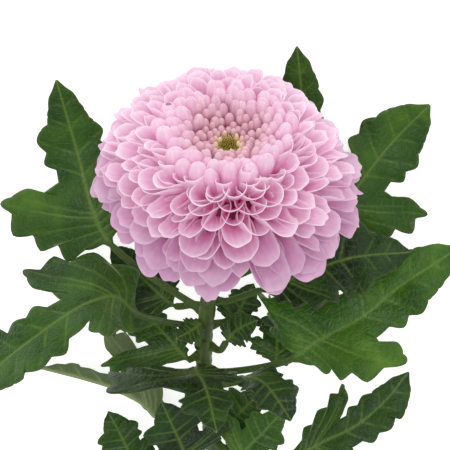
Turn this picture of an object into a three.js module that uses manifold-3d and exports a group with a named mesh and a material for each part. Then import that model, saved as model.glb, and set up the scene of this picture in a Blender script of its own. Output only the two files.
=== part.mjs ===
// A cut chrysanthemum that lies on a surface, with one large bloom, lobed leaves and a stripped lower stem.
// Millimetres, +Z up. The stem runs along Y and the bloom is at its +Y end.
import * as THREE from "three";
import { mergeVertices } from "three/addons/utils/BufferGeometryUtils.js";
import Module from "manifold-3d";

const wasm = await Module();
wasm.setup();

// Where the centre of the bloom's equator is
const BLOOM_CENTRE = new THREE.Vector3(1.1, 99.2, 56.4);
// How far the bloom's axis is raised from the surface, and the viewer's line of sight
const BLOOM_RISE_DEG = 20;
const VIEW_RISE_DEG = 64;
// The eye sits beside the bloom's axis; the shift fades between two radii and is full from a height on
const EYE_SHIFT = { size: 3.3, near: 12, far: 44, height: 18 };
// The low florets are shorter on one side: towards which azimuth, by how much, and between which shares it grows
const SHORT_SIDE = { azimuthDeg: -150, shortened: 0.17, from: 0.6, to: 0.85 };

// Ray florets: the tip's radius and height from the equator, the way it points and the floret's width,
// from the eye (share 0) to the lowest row (share 1)
const RAYS = [
  { share: 0, radius: 5, height: 28.8, points: 108, width: 2.2 },
  { share: 0.05, radius: 7.2, height: 29.9, points: 112, width: 3 },
  { share: 0.1, radius: 9.4, height: 31.4, points: 112, width: 3.6 },
  { share: 0.2, radius: 14.4, height: 34.8, points: 108, width: 4.6 },
  { share: 0.3, radius: 20.2, height: 37.2, points: 98, width: 5.4 },
  { share: 0.38, radius: 25.4, height: 37.8, points: 90, width: 6.4 },
  { share: 0.45, radius: 30, height: 37.2, points: 76, width: 7 },
  { share: 0.5, radius: 34, height: 35.8, points: 62, width: 7.8 },
  { share: 0.56, radius: 38.6, height: 33.4, points: 44, width: 9 },
  { share: 0.63, radius: 43.8, height: 29.6, points: 30, width: 10.2 },
  { share: 0.7, radius: 48.8, height: 24.6, points: 22, width: 11.4 },
  { share: 0.78, radius: 53.8, height: 16.4, points: 11, width: 12.6 },
  { share: 0.88, radius: 58.6, height: 3, points: -6, width: 13.8 },
  { share: 1, radius: 58.4, height: -11, points: -38, width: 16 },
];
const RAY_COUNT = 400;
// Below 1, this leaves fewer florets near the eye
const SHARE_POWER = 0.85;
const GOLDEN_ANGLE_DEG = 137.508;
// The florets nearer the eye than this one are solid fingers, every fourth one and wider for it
const FIRST_OPEN_RAY = 337;
const FINGER_STEP = 4;
const FINGER_WIDENING = { byEye: 1.8, outside: 1.1 };
const FINGER_DEPTH = 0.6;
const PETAL_THICKNESS = 0.8;
// Where the bloom's skin touches itself, its two sides are drawn apart by this much
const PARTING = 0.02;
// Where the roots of the florets sit on the receptacle
const ROOT = { innerRadius: 5, outerRadius: 11, innerHeight: -2, outerHeight: -14 };
// How far the florets stray from their regular places
const TIP_SCATTER = { byEye: 0.5, outside: 2.8 };
const AZIMUTH_SCATTER_DEG = 5;
const ANGLE_SCATTER_DEG = 11;
const TWIST_SCATTER_DEG = 30;
const WIDTH_SCATTER = { byEye: 0.1, outside: 0.26 };
// The handles of a floret's arc, as a share of its chord
const ARC_HANDLE = 0.36;
// How far round the section of an open floret is bent, and its width from inside the core to the tip
const OPEN_BEND_DEG = { inner: 170, outer: 85 };
const OPEN_RAY_STATIONS = [
  { t: 0.56, width: 0.32 },
  { t: 0.87, width: 0.98 },
  { t: 1, width: 0.6 },
];
// The florets of the lowest rows start nearer their roots, because the core is slimmer there
const LOW_ROWS = { share: 0.86, firstStation: 0.42 };
const FINGER_STATIONS = [
  { t: 0.56, width: 0.9 },
  { t: 0.88, width: 1 },
  { t: 1, width: 0.5 },
];
// The core that the florets stand out of, as radius and height in the bloom's frame
const CORE_PROFILE = [
  [0, -16], [12, -14], [23, -8.9], [38, -4], [43, 5], [41, 14],
  [32, 22], [22, 25.5], [14, 25.5], [8, 24], [5.4, 22], [0, 22],
];
const CORE_SEGMENTS = 18;

// The dome of the eye sits on the core, and its short disc florets stand on the dome
const GAP = 0.3;
const EYE_HEIGHT = 22 + GAP;
const EYE_PROFILE = [
  [0, EYE_HEIGHT], [4.2, EYE_HEIGHT], [4.1, 23.6], [2.6, 24.8], [0, 25.2],
];
const EYE_SEGMENTS = 8;
const EYE_FLORETS = 14;
const EYE_FLORET = { ring: 3.6, lean: 0.96, foot: 23.3, innerTop: 27.6, outerTop: 26 };
const EYE_FLORET_HALF = { foot: 0.5, top: 0.42 };

const SEAT_HEIGHT = -24.5;
// The green cup under the bloom, as radius and height in the bloom's frame, and the bracts that grow from it
const CUP_PROFILE = [
  [0, SEAT_HEIGHT], [3.4, SEAT_HEIGHT], [8, -21], [13, -17], [17.5, -12.2], [12, -14.7], [0, -16.4],
];
const CUP_SEGMENTS = 12;
const BRACTS_IN_ROW = 8;
const BRACT_THICKNESS = 1.1;
const BRACT_EDGE_LIFT = 0.15;
const BRACT_ROWS = [
  {
    shift: 0,
    stations: [
      { radius: 9, height: -19.2, half: 2 },
      { radius: 17, height: -15.6, half: 3.8 },
      { radius: 24, height: -13.2, half: 1.2 },
    ],
  },
  {
    shift: 0.5,
    stations: [
      { radius: 5, height: -22, half: 1.6 },
      { radius: 13, height: -18.6, half: 3 },
      { radius: 19.5, height: -16.8, half: 0.8 },
    ],
  },
];

// The stem's course, from the bloom's centre: straight, then levelling out, with a sideways bow
const STEM_LENGTH = 250;
const STEM_STRAIGHT = 40;
const STEM_END_SLOPE_DEG = 1.85;
const STEM_BOW_DEG = 7;
const STEM_BOW_LENGTH = 220;
const STEM_SIDES = 8;
const STEM_RADIUS = 3.4;
const STEM_NECK = { radius: 2.5, station: 36, from: 30, to: 75 };
const CUT_SLANT = 2;
// Where leaves have been stripped, and how much and how far the stem swells at every node
const BARE_NODES = [186, 205, 229];
const SWELLING = { rise: 0.5, length: 2.5, station: 4 };

const PETIOLE_WIDTH = 3.2;
const PETIOLE_START = 4;
const PETIOLE_STEP = 9;
// Half thicknesses of a leaf above and below its middle: at the midrib and at the rim
const PETIOLE_HALF = { up: 0.9, down: 1.7, rim: 0.9 };
const BLADE_HALF = { up: 0.5, down: 1.3, rim: 0.4 };
const BLADE_STARTS_BY = 0.12;
const MIDRIB_TAPER = 0.65;
const COURSE_STEPS = 60;
const COURSE_SLOPE_STEP = 0.6;
const BLADE_SLOPE_STEP = 0.004;
const HALF_LEAF_WIDEST = 0.375;
// The halves of a blade curl down towards the rim and have low waves, as shares of its length
const BLADE_CURL = 0.15;
const WAVES = 2.6;
const WAVE_HEIGHT = 0.02;
const WAVE_OFFSET = 1.3;
const WAVE_FULL_AT = 0.2;
// How high the middle of a blade stays above the surface that it lies on, and how softly it comes down to it
const BLADE_REST = { height: 0.35, softness: 1.2 };
const PETAL_REST = { height: 0, softness: 0.4 };

// Half outline of a leaf, as shares of the blade's length: where the rib to this point leaves the midrib,
// how far along and how far across the point is, and which lobe it belongs to
const HALF_LEAF = [
  { foot: 0.0, along: 0.0, across: 0.016, lobe: 0 },
  { foot: 0.03, along: 0.03, across: 0.035, lobe: 0 },
  { foot: 0.06, along: 0.055, across: 0.11, lobe: 1 },
  { foot: 0.08, along: 0.075, across: 0.19, lobe: 1 },
  { foot: 0.1, along: 0.13, across: 0.205, lobe: 1 },
  { foot: 0.12, along: 0.15, across: 0.275, lobe: 1 },
  { foot: 0.14, along: 0.225, across: 0.29, lobe: 1 },
  { foot: 0.155, along: 0.265, across: 0.36, lobe: 1 },
  { foot: 0.175, along: 0.34, across: 0.35, lobe: 1 },
  { foot: 0.195, along: 0.4, across: 0.375, lobe: 1 },
  { foot: 0.22, along: 0.43, across: 0.33, lobe: 1 },
  { foot: 0.245, along: 0.43, across: 0.25, lobe: 1 },
  { foot: 0.28, along: 0.4, across: 0.185, lobe: 1 },
  { foot: 0.33, along: 0.405, across: 0.145, lobe: 2 },
  { foot: 0.39, along: 0.475, across: 0.16, lobe: 2 },
  { foot: 0.44, along: 0.53, across: 0.2, lobe: 2 },
  { foot: 0.5, along: 0.59, across: 0.19, lobe: 2 },
  { foot: 0.56, along: 0.66, across: 0.205, lobe: 2 },
  { foot: 0.62, along: 0.73, across: 0.18, lobe: 2 },
  { foot: 0.66, along: 0.745, across: 0.125, lobe: 3 },
  { foot: 0.72, along: 0.8, across: 0.125, lobe: 3 },
  { foot: 0.78, along: 0.84, across: 0.095, lobe: 3 },
  { foot: 0.85, along: 0.9, across: 0.085, lobe: 3 },
  { foot: 0.91, along: 0.945, across: 0.045, lobe: 3 },
  { foot: 1.0, along: 1.0, across: 0.006, lobe: 3 },
];

// Each leaf: where on the stem it grows (distance from the bloom's centre); the course of its midrib from
// the blade's base to the tip, and the way its upper face looks there, both in the viewer's frame; the widths
// of three lobes and the forward sweep of the first, right and left of the midrib; and how steeply its halves
// rise from the midrib
const LEAVES = [
  {
    name: "leaf_rear_left",
    from: 76,
    course: [[-50, -24, -56], [-58, -9, -54], [-64.5, 15.5, -53], [-73.5, 54, -47]],
    faces: [[-0.1, 0.15, 1], [0, -0.25, 1]],
    right: { lobes: [1.1, 0.8, 0.9], sweep: 0 },
    left: { lobes: [1.3, 0.95, 0.9], sweep: -0.03 },
    rise: -4,
  },
  {
    name: "leaf_rear_middle",
    from: 50,
    course: [[22, -3, -57], [36, 25, -50], [36, 43, -42], [33.5, 64.5, -32]],
    faces: [[0, -0.3, 1], [0, -0.45, 1]],
    right: { lobes: [0.6, 0.6, 0.8], sweep: 0 },
    left: { lobes: [0.6, 0.7, 0.9], sweep: 0 },
    rise: 3,
  },
  {
    name: "leaf_rear_right",
    from: 60,
    course: [[46, -17.5, -54.5], [59, -1, -52], [73, 17.5, -50], [93.5, 41, -47.5]],
    faces: [[0.2, 0.1, 1], [0.1, -0.3, 1]],
    right: { lobes: [1.2, 1, 1.3], sweep: 0.05 },
    left: { lobes: [1, 1.05, 1.4], sweep: 0 },
    rise: 3,
  },
  {
    name: "leaf_right_upper",
    from: 70,
    course: [[18, -44, -46], [35, -38, -43], [57, -30, -41], [85, -27, -40]],
    faces: [[0, 0.5, 0.9], [0.1, 0.3, 0.95]],
    right: { lobes: [0.7, 1.25, 1.3], sweep: 0.04 },
    left: { lobes: [0.8, 1.3, 1.2], sweep: 0.04 },
    rise: 4,
  },
  {
    name: "leaf_right_middle",
    from: 114,
    course: [[32, -76, -56], [43, -68, -53], [63, -57, -49], [79.5, -43.5, -48], [108, -24.5, -46]],
    faces: [[0, 0.3, 1], [0, 0.2, 1]],
    right: { lobes: [0.8, 0.8, 1], sweep: 0.04 },
    left: { lobes: [0.95, 0.95, 1], sweep: -0.36 },
    rise: 6,
  },
  {
    name: "leaf_right_small",
    from: 119,
    course: [[10, -84, -54], [19, -86, -44], [31, -102, -37]],
    faces: [[0.3, 0.5, 0.8], [0.6, 0.3, 0.7]],
    right: { lobes: [0.8, 1.6, 1.8], sweep: 0 },
    left: { lobes: [0.9, 1.9, 2.3], sweep: 0 },
    rise: 4,
  },
  {
    name: "leaf_right_lower",
    from: 165,
    course: [[33, -125, -97], [50, -117, -92], [63, -110, -88], [76, -99, -86], [88, -84, -84]],
    faces: [[0, 0.2, 1], [0, 0.2, 1]],
    right: { lobes: [0.8, 0.75, 1.2], sweep: 0.05 },
    left: { lobes: [0.72, 0.6, 0.8], sweep: 0.2 },
    rise: 4,
  },
  {
    name: "leaf_left_upper",
    from: 84,
    course: [[-37, -55, -42], [-47, -47, -33], [-60, -50, -27], [-84, -66, -24], [-110, -87, -28]],
    faces: [[-0.15, 0.65, 0.8], [-0.5, 0.35, 0.8]],
    right: { lobes: [0.95, 0.65, 1.4], sweep: 0.07 },
    left: { lobes: [0.65, 0.85, 1.3], sweep: -0.08 },
    rise: 5,
  },
  {
    name: "leaf_left_middle",
    from: 104,
    course: [[-15.5, -77, -68], [-24, -68, -71], [-34, -57.5, -73], [-44, -47, -74]],
    faces: [[0, 0.1, 1], [0, 0.1, 1]],
    right: { lobes: [0.45, 0.8, 1], sweep: 0 },
    left: { lobes: [2, 1.4, 1], sweep: 0.22 },
    rise: 3,
  },
  {
    name: "leaf_left_turned",
    from: 141,
    course: [[-27, -109, -100], [-36, -101, -98], [-49, -93, -94], [-63, -88, -90], [-85, -82, -86]],
    faces: [[0.1, 0.6, -0.75], [0.1, 0.6, -0.75]],
    right: { lobes: [0.35, 0.4, 0.5], sweep: 0 },
    left: { lobes: [0.85, 0.3, 0.5], sweep: 0.26 },
    rise: 40,
  },
  {
    name: "leaf_left_lower",
    from: 171,
    course: [[-41, -134, -108], [-45, -123, -104], [-54, -104, -98]],
    faces: [[0, 0.2, 1], [0, 0, 1]],
    right: { lobes: [1, 1.4, 1.5], sweep: 0 },
    left: { lobes: [1.2, 1.6, 1.5], sweep: 0 },
    rise: 4,
  },
  {
    name: "leaf_front_middle",
    from: 109,
    course: [[-12, -80, -55], [-7, -88, -42], [-2, -106, -29]],
    faces: [[0, 0.9, 0.5], [0.1, 0.35, 0.95]],
    right: { lobes: [2.8, 1.7, 1.4], sweep: -0.36 },
    left: { lobes: [1.2, 1.3, 1.5], sweep: 0 },
    rise: 2,
  },
  {
    name: "leaf_low_middle",
    from: 147,
    course: [[0, -116, -106], [8, -106, -104], [19, -95, -100]],
    faces: [[0, 0.1, 1], [0, 0.1, 1]],
    right: { lobes: [1.9, 2, 1.8], sweep: 0 },
    left: { lobes: [1.9, 2, 1.8], sweep: 0 },
    rise: 4,
  },
  {
    name: "leaf_low_right",
    from: 159,
    course: [[5, -127, -96], [16, -117, -92], [30, -102, -88]],
    faces: [[0, 0.1, 1], [0, 0.1, 1]],
    right: { lobes: [1.3, 1.4, 1.3], sweep: 0 },
    left: { lobes: [1.3, 1.4, 1.3], sweep: 0 },
    rise: 4,
  },
  {
    name: "leaf_low_left",
    from: 153,
    course: [[-14, -128, -92], [-21, -114, -87], [-28, -98, -82]],
    faces: [[0, 0.1, 1], [0, 0.1, 1]],
    right: { lobes: [1.9, 2, 1.7], sweep: 0 },
    left: { lobes: [1.8, 2, 1.7], sweep: 0 },
    rise: 4,
  },
  {
    name: "leaf_small_left",
    from: 93,
    course: [[-9, -60, -54], [-14, -63, -51], [-20, -66, -47]],
    faces: [[0, 0.3, 1], [0, 0.3, 1]],
    right: { lobes: [1.2, 1.9, 2], sweep: 0 },
    left: { lobes: [1.2, 1.9, 2], sweep: 0 },
    rise: 4,
  },
  {
    name: "leaf_small_right",
    from: 98,
    course: [[2.5, -68, -59], [7, -63, -56], [16, -58, -50]],
    faces: [[0, 0.3, 1], [0, 0.3, 1]],
    right: { lobes: [1.2, 1.9, 2], sweep: 0 },
    left: { lobes: [1.2, 1.9, 2], sweep: 0 },
    rise: 4,
  },
  {
    name: "leaf_inner_left",
    from: 79,
    course: [[-22, -52, -68], [-34, -42, -70], [-51, -25, -68]],
    faces: [[0, 0.2, 1], [0, 0.2, 1]],
    right: { lobes: [1, 1.3, 1.4], sweep: 0 },
    left: { lobes: [1, 1.3, 1.4], sweep: 0 },
    rise: 4,
  },
  {
    name: "leaf_neck",
    from: 87,
    course: [[4, -61, -67], [9, -53, -69], [15, -42, -71]],
    faces: [[0, 0.2, 1], [0, 0.2, 1]],
    right: { lobes: [1.5, 1.7, 1.6], sweep: 0 },
    left: { lobes: [1.5, 1.7, 1.6], sweep: 0 },
    rise: 4,
  },
  {
    name: "leaf_right_inner",
    from: 124,
    course: [[24, -80, -71], [26, -66, -74], [28, -50, -75]],
    faces: [[0, 0.2, 1], [0, 0.2, 1]],
    right: { lobes: [1, 1.3, 1.4], sweep: 0 },
    left: { lobes: [1.1, 1.4, 1.4], sweep: 0 },
    rise: 4,
  },
];

// The stem is a little thicker where a leaf grows, or has been stripped
const STEM_NODES = [...LEAVES.map((leaf) => leaf.from), ...BARE_NODES].sort((a, b) => a - b);

const MATERIALS = {
  bloom: new THREE.MeshStandardMaterial({ color: 0xe3a3c6, roughness: 0.6 }),
  eye: new THREE.MeshStandardMaterial({ color: 0xb9ad4e, roughness: 0.7 }),
  bracts: new THREE.MeshStandardMaterial({ color: 0x4f7a35, roughness: 0.6 }),
  stem: new THREE.MeshStandardMaterial({ color: 0x56752f, roughness: 0.6 }),
  leaf: new THREE.MeshStandardMaterial({ color: 0x2c5a2b, roughness: 0.45 }),
};

const rad = THREE.MathUtils.degToRad;
const lerp = THREE.MathUtils.lerp;
const clamp = THREE.MathUtils.clamp;

// A repeatable number from -1 to 1 for floret or leaf k
function jitter(k, salt) {
  const s = Math.sin(k * 12.9898 + salt * 78.233) * 43758.5453;
  return 2 * (s - Math.floor(s)) - 1;
}

// The viewer's frame has x to the right, y up the picture and z towards the viewer, from the bloom's centre
const viewUp = new THREE.Vector3(0, Math.sin(rad(VIEW_RISE_DEG)), -Math.cos(rad(VIEW_RISE_DEG)));
const viewOut = new THREE.Vector3(0, Math.cos(rad(VIEW_RISE_DEG)), Math.sin(rad(VIEW_RISE_DEG)));

function turnedFromView([x, y, z]) {
  return new THREE.Vector3(x, 0, 0).addScaledVector(viewUp, y).addScaledVector(viewOut, z);
}

// The bloom's frame has z along its axis, x across the part and y towards the surface
const bloomAxis = new THREE.Vector3(0, Math.cos(rad(BLOOM_RISE_DEG)), Math.sin(rad(BLOOM_RISE_DEG)));
const bloomDown = new THREE.Vector3(0, Math.sin(rad(BLOOM_RISE_DEG)), -Math.cos(rad(BLOOM_RISE_DEG)));

function fromBloom(x, y, z) {
  const near = 1 - THREE.MathUtils.smoothstep(Math.hypot(x, y), EYE_SHIFT.near, EYE_SHIFT.far);
  const shift = EYE_SHIFT.size * near * THREE.MathUtils.smoothstep(z, 0, EYE_SHIFT.height);
  return BLOOM_CENTRE.clone()
    .add(new THREE.Vector3(x + shift, 0, 0))
    .addScaledVector(bloomDown, y)
    .addScaledVector(bloomAxis, z);
}

// What would go through the surface is lifted, to lie on it
function restedHeight(z, rest) {
  const above = z - rest.height;
  return rest.height + 0.5 * (above + Math.hypot(above, rest.softness));
}

function laidOnSurface(ring) {
  const lowest = Math.min(...ring.map((point) => point.z));
  const lift = restedHeight(lowest, PETAL_REST) - lowest;
  ring.forEach((point) => (point.z += lift));
  return ring;
}

function onOrAboveSurface(point) {
  point.z = Math.max(point.z, 0);
  return point;
}

function geometryOf(points, triangles) {
  const positions = points.flatMap((p) => [p.x, p.y, p.z]);
  const geometry = new THREE.BufferGeometry();
  geometry.setAttribute("position", new THREE.Float32BufferAttribute(positions, 3));
  geometry.setIndex(triangles.flat());
  return geometry;
}

// A closed solid through rings of points that all run the same way round
function loftOf(rings) {
  const sides = rings[0].length;
  const triangles = [];
  for (let r = 0; r + 1 < rings.length; r++)
    for (let i = 0; i < sides; i++) {
      const a = r * sides + i;
      const b = r * sides + ((i + 1) % sides);
      triangles.push([a, b, b + sides], [a, b + sides, a + sides]);
    }
  const last = (rings.length - 1) * sides;
  for (let i = 1; i + 1 < sides; i++)
    triangles.push([0, i + 1, i], [last, last + i, last + i + 1]);
  return geometryOf(rings.flat(), triangles);
}

function solidOf(geometry) {
  const bare = geometry.clone();
  bare.deleteAttribute("normal");
  bare.deleteAttribute("uv");
  const merged = mergeVertices(bare, 1e-3);
  const solid = new wasm.Manifold(
    new wasm.Mesh({
      numProp: 3,
      vertProperties: merged.attributes.position.array,
      triVerts: new Uint32Array(merged.index.array),
    }),
  );
  return solid;
}

// Draws the vertices that lie in one place apart, each into the solid behind it
function parted(geometry) {
  geometry.computeVertexNormals();
  const position = geometry.getAttribute("position");
  const normal = geometry.getAttribute("normal");
  const places = new Map();
  for (let i = 0; i < position.count; i++) {
    const point = new THREE.Vector3().fromBufferAttribute(position, i);
    const place = point.toArray().map((value) => value.toFixed(3)).join();
    places.set(place, [...(places.get(place) ?? []), i]);
  }
  for (const shared of places.values()) {
    if (shared.length === 1) continue;
    for (const i of shared) {
      const point = new THREE.Vector3().fromBufferAttribute(position, i);
      point.addScaledVector(new THREE.Vector3().fromBufferAttribute(normal, i), -PARTING);
      position.setXYZ(i, point.x, point.y, point.z);
    }
  }
  geometry.deleteAttribute("normal");
  return geometry;
}

// The geometries as one solid, whose outer skin is kept and whose shut hollows are filled
function fused(geometries) {
  const whole = wasm.Manifold.union(geometries.map(solidOf));
  const [skin] = whole.decompose().sort((a, b) => b.volume() - a.volume());
  const mesh = skin.getMesh();
  const geometry = new THREE.BufferGeometry();
  geometry.setAttribute("position", new THREE.BufferAttribute(mesh.vertProperties, 3));
  geometry.setIndex(new THREE.BufferAttribute(mesh.triVerts, 1));
  return parted(geometry);
}

// A lathe's solid in the bloom's frame
function turnedOnBloomAxis(profile, segments) {
  const geometry = new THREE.LatheGeometry(
    profile.map(([radius, height]) => new THREE.Vector2(radius, height)),
    segments,
  );
  geometry.rotateX(Math.PI / 2);
  const position = geometry.getAttribute("position");
  for (let i = 0; i < position.count; i++) {
    const p = fromBloom(position.getX(i), position.getY(i), position.getZ(i));
    position.setXYZ(i, p.x, p.y, p.z);
  }
  return geometry;
}

function rayShape(share) {
  const next = Math.max(1, RAYS.findIndex((row) => row.share >= share));
  const [low, high] = [RAYS[next - 1], RAYS[next]];
  const t = (share - low.share) / (high.share - low.share);
  return {
    radius: lerp(low.radius, high.radius, t),
    height: lerp(low.height, high.height, t),
    points: lerp(low.points, high.points, t),
    width: lerp(low.width, high.width, t),
  };
}

// The middle line of ray floret k: an arc from the receptacle to the tip, in a plane through the bloom's axis
function rayCourse(k) {
  const share = ((k + 0.5) / RAY_COUNT) ** SHARE_POWER;
  const shape = rayShape(share);
  const root = new THREE.Vector2(
    lerp(ROOT.innerRadius, ROOT.outerRadius, share),
    lerp(ROOT.innerHeight, ROOT.outerHeight, share),
  );
  const azimuth = rad(k * GOLDEN_ANGLE_DEG + AZIMUTH_SCATTER_DEG * jitter(k, 1));
  const towardsGap = Math.max(0, Math.cos(azimuth - rad(SHORT_SIDE.azimuthDeg))) ** 4;
  const low = THREE.MathUtils.smoothstep(share, SHORT_SIDE.from, SHORT_SIDE.to);
  const scatter = lerp(TIP_SCATTER.byEye, TIP_SCATTER.outside, share);
  const tip = new THREE.Vector2(
    shape.radius * (1 - SHORT_SIDE.shortened * towardsGap * low) + scatter * jitter(k, 2),
    shape.height + scatter * jitter(k, 3),
  );
  const chord = tip.clone().sub(root);
  const endAngle = rad(shape.points + ANGLE_SCATTER_DEG * jitter(k, 4));
  const startAngle = 2 * chord.angle() - endAngle;
  const reach = ARC_HANDLE * chord.length();
  const handle = (angle) => new THREE.Vector2(Math.cos(angle), Math.sin(angle)).multiplyScalar(reach);
  const scattered = lerp(WIDTH_SCATTER.byEye, WIDTH_SCATTER.outside, share) * jitter(k, 6);
  const start = root.clone().add(handle(startAngle));
  const end = tip.clone().sub(handle(endAngle));
  return {
    share,
    curve: new THREE.CubicBezierCurve(root, start, end, tip),
    azimuth,
    twist: rad(TWIST_SCATTER_DEG * jitter(k, 5)),
    halfWidth: 0.5 * shape.width * (1 + scattered),
  };
}

// A point on a ray floret: t along it, then right and rise from its middle line, towards its upper face
function rayFrame(course, t) {
  const at = course.curve.getPoint(t);
  const tangent = course.curve.getTangent(t);
  const cos = Math.cos(course.azimuth);
  const sin = Math.sin(course.azimuth);
  const flat = new THREE.Vector3(-sin, cos, 0);
  const up = new THREE.Vector3(-tangent.y * cos, -tangent.y * sin, tangent.x);
  const turn = course.twist * t;
  const side = flat.clone().multiplyScalar(Math.cos(turn)).addScaledVector(up, Math.sin(turn));
  const face = up.clone().multiplyScalar(Math.cos(turn)).addScaledVector(flat, -Math.sin(turn));
  const centre = new THREE.Vector3(at.x * cos, at.x * sin, at.y);
  return (right, rise) => {
    const p = centre.clone().addScaledVector(side, right).addScaledVector(face, rise);
    return fromBloom(p.x, p.y, p.z);
  };
}

// An open ray floret is a gutter: its edges stand up from its middle by the bend of its section
function openRay(k) {
  const course = rayCourse(k);
  const bend = rad(lerp(OPEN_BEND_DEG.inner, OPEN_BEND_DEG.outer, course.share)) / 2;
  const low = THREE.MathUtils.smoothstep(course.share, LOW_ROWS.share, 1);
  const rings = OPEN_RAY_STATIONS.map(({ t, width }, station) => {
    const at = rayFrame(course, station === 0 ? lerp(t, LOW_ROWS.firstStation, low) : t);
    const radius = (course.halfWidth * width) / bend;
    const edge = radius * Math.sin(bend);
    const lift = radius * (1 - Math.cos(bend));
    const dx = 0.5 * PETAL_THICKNESS * Math.sin(bend);
    const dy = 0.5 * PETAL_THICKNESS * Math.cos(bend);
    return laidOnSurface([
      at(-edge + dx, lift + dy),
      at(-edge - dx, lift - dy),
      at(0, -0.5 * PETAL_THICKNESS),
      at(edge + dx, lift - dy),
      at(edge - dx, lift + dy),
      at(0, 0.5 * PETAL_THICKNESS),
    ]);
  });
  return loftOf(rings);
}

// A floret near the eye is a solid finger with four sides
function fingerRay(k) {
  const course = rayCourse(k);
  const widening = lerp(FINGER_WIDENING.byEye, FINGER_WIDENING.outside, k / FIRST_OPEN_RAY);
  const rings = FINGER_STATIONS.map(({ t, width }) => {
    const at = rayFrame(course, t);
    const half = course.halfWidth * widening * width;
    const depth = FINGER_DEPTH * half;
    return [at(-half, 0), at(0, -depth), at(half, 0), at(0, depth)];
  });
  return loftOf(rings);
}

function bloomGeometry() {
  const pieces = [turnedOnBloomAxis(CORE_PROFILE, CORE_SEGMENTS)];
  for (let k = 0; k < FIRST_OPEN_RAY; k += FINGER_STEP) pieces.push(fingerRay(k));
  for (let k = FIRST_OPEN_RAY; k < RAY_COUNT; k++) pieces.push(openRay(k));
  return fused(pieces);
}

// The eye is a low dome set with short disc florets
function eyeGeometry() {
  const pieces = [turnedOnBloomAxis(EYE_PROFILE, EYE_SEGMENTS)];
  for (let k = 0; k < EYE_FLORETS; k++) {
    const share = Math.sqrt((k + 0.5) / EYE_FLORETS);
    const azimuth = rad(k * GOLDEN_ANGLE_DEG);
    const radius = EYE_FLORET.ring * share;
    const top = lerp(EYE_FLORET.innerTop, EYE_FLORET.outerTop, share * share);
    const rings = [
      { height: EYE_FLORET.foot, half: EYE_FLORET_HALF.foot, out: radius },
      { height: top, half: EYE_FLORET_HALF.top, out: radius * EYE_FLORET.lean },
    ].map(({ height, half, out }) =>
      [0, 1, 2, 3].map((i) => {
        const a = azimuth + (i * Math.PI) / 2;
        return fromBloom(
          out * Math.cos(azimuth) + half * Math.cos(a),
          out * Math.sin(azimuth) + half * Math.sin(a),
          height,
        );
      }),
    );
    pieces.push(loftOf(rings));
  }
  return fused(pieces);
}

// The cup under the bloom and two rows of green bracts that grow from it
function bractGeometry() {
  const pieces = [turnedOnBloomAxis(CUP_PROFILE, CUP_SEGMENTS)];
  for (const row of BRACT_ROWS)
    for (let i = 0; i < BRACTS_IN_ROW; i++) {
      const azimuth = ((i + row.shift) * 2 * Math.PI) / BRACTS_IN_ROW;
      const rings = row.stations.map(({ radius, height, half }) => {
        const at = (side, rise) =>
          fromBloom(
            radius * Math.cos(azimuth) - side * Math.sin(azimuth),
            radius * Math.sin(azimuth) + side * Math.cos(azimuth),
            height + rise,
          );
        return [
          at(-half, BRACT_EDGE_LIFT),
          at(0, -0.5 * BRACT_THICKNESS),
          at(half, BRACT_EDGE_LIFT),
          at(0, 0.5 * BRACT_THICKNESS),
        ];
      });
      pieces.push(loftOf(rings));
    }
  return fused(pieces);
}

// The stem leaves the bloom along its axis, then bends down to the surface with a slight sideways bow
function stemCourse() {
  const points = [BLOOM_CENTRE.clone()];
  const directions = [];
  for (let s = 0; s <= STEM_LENGTH; s++) {
    const bent = clamp((s - STEM_STRAIGHT) / (STEM_LENGTH - STEM_STRAIGHT), 0, 1);
    const slope = rad(lerp(BLOOM_RISE_DEG, STEM_END_SLOPE_DEG, bent));
    const yaw = rad(STEM_BOW_DEG * Math.sin((2 * Math.PI * s) / STEM_BOW_LENGTH));
    directions.push(
      new THREE.Vector3(-Math.sin(yaw) * Math.cos(slope), -Math.cos(yaw) * Math.cos(slope), -Math.sin(slope)),
    );
    if (s > 0) points.push(points[s - 1].clone().add(directions[s - 1].clone().lerp(directions[s], 0.5)));
  }
  return { points, directions };
}
const STEM = stemCourse();

function stemRadius(s) {
  const grown = THREE.MathUtils.smoothstep(s, STEM_NECK.from, STEM_NECK.to);
  const nearest = Math.min(...STEM_NODES.map((node) => Math.abs(s - node)));
  const swollen = SWELLING.rise * Math.exp(-((nearest / SWELLING.length) ** 2));
  return lerp(STEM_NECK.radius, STEM_RADIUS, grown) + swollen;
}

function stemAt(s) {
  const i = Math.min(Math.floor(s), STEM_LENGTH - 1);
  return {
    point: STEM.points[i].clone().lerp(STEM.points[i + 1], s - i),
    direction: STEM.directions[i].clone().lerp(STEM.directions[i + 1], s - i).normalize(),
  };
}

function stemGeometry() {
  const stations = [-SEAT_HEIGHT + GAP, STEM_NECK.station];
  STEM_NODES.forEach((node, i) => {
    if (i > 0) stations.push(0.5 * (node + STEM_NODES[i - 1]));
    stations.push(node);
  });
  for (const node of BARE_NODES) stations.push(node - SWELLING.station, node + SWELLING.station);
  stations.push(STEM_LENGTH);
  const rings = stations.sort((a, b) => a - b).map((s) => {
    const { point, direction } = stemAt(s);
    const right = new THREE.Vector3(0, 0, 1).cross(direction).normalize();
    const up = direction.clone().cross(right);
    const radius = stemRadius(s);
    const slant = s === STEM_LENGTH ? CUT_SLANT : 0;
    return Array.from({ length: STEM_SIDES }, (_, i) => {
      const a = (2 * Math.PI * (i + 0.5)) / STEM_SIDES;
      return point
        .clone()
        .addScaledVector(right, radius * Math.cos(a))
        .addScaledVector(up, radius * Math.sin(a))
        .addScaledVector(direction, slant * Math.sin(a));
    });
  });
  return loftOf(rings);
}

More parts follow.
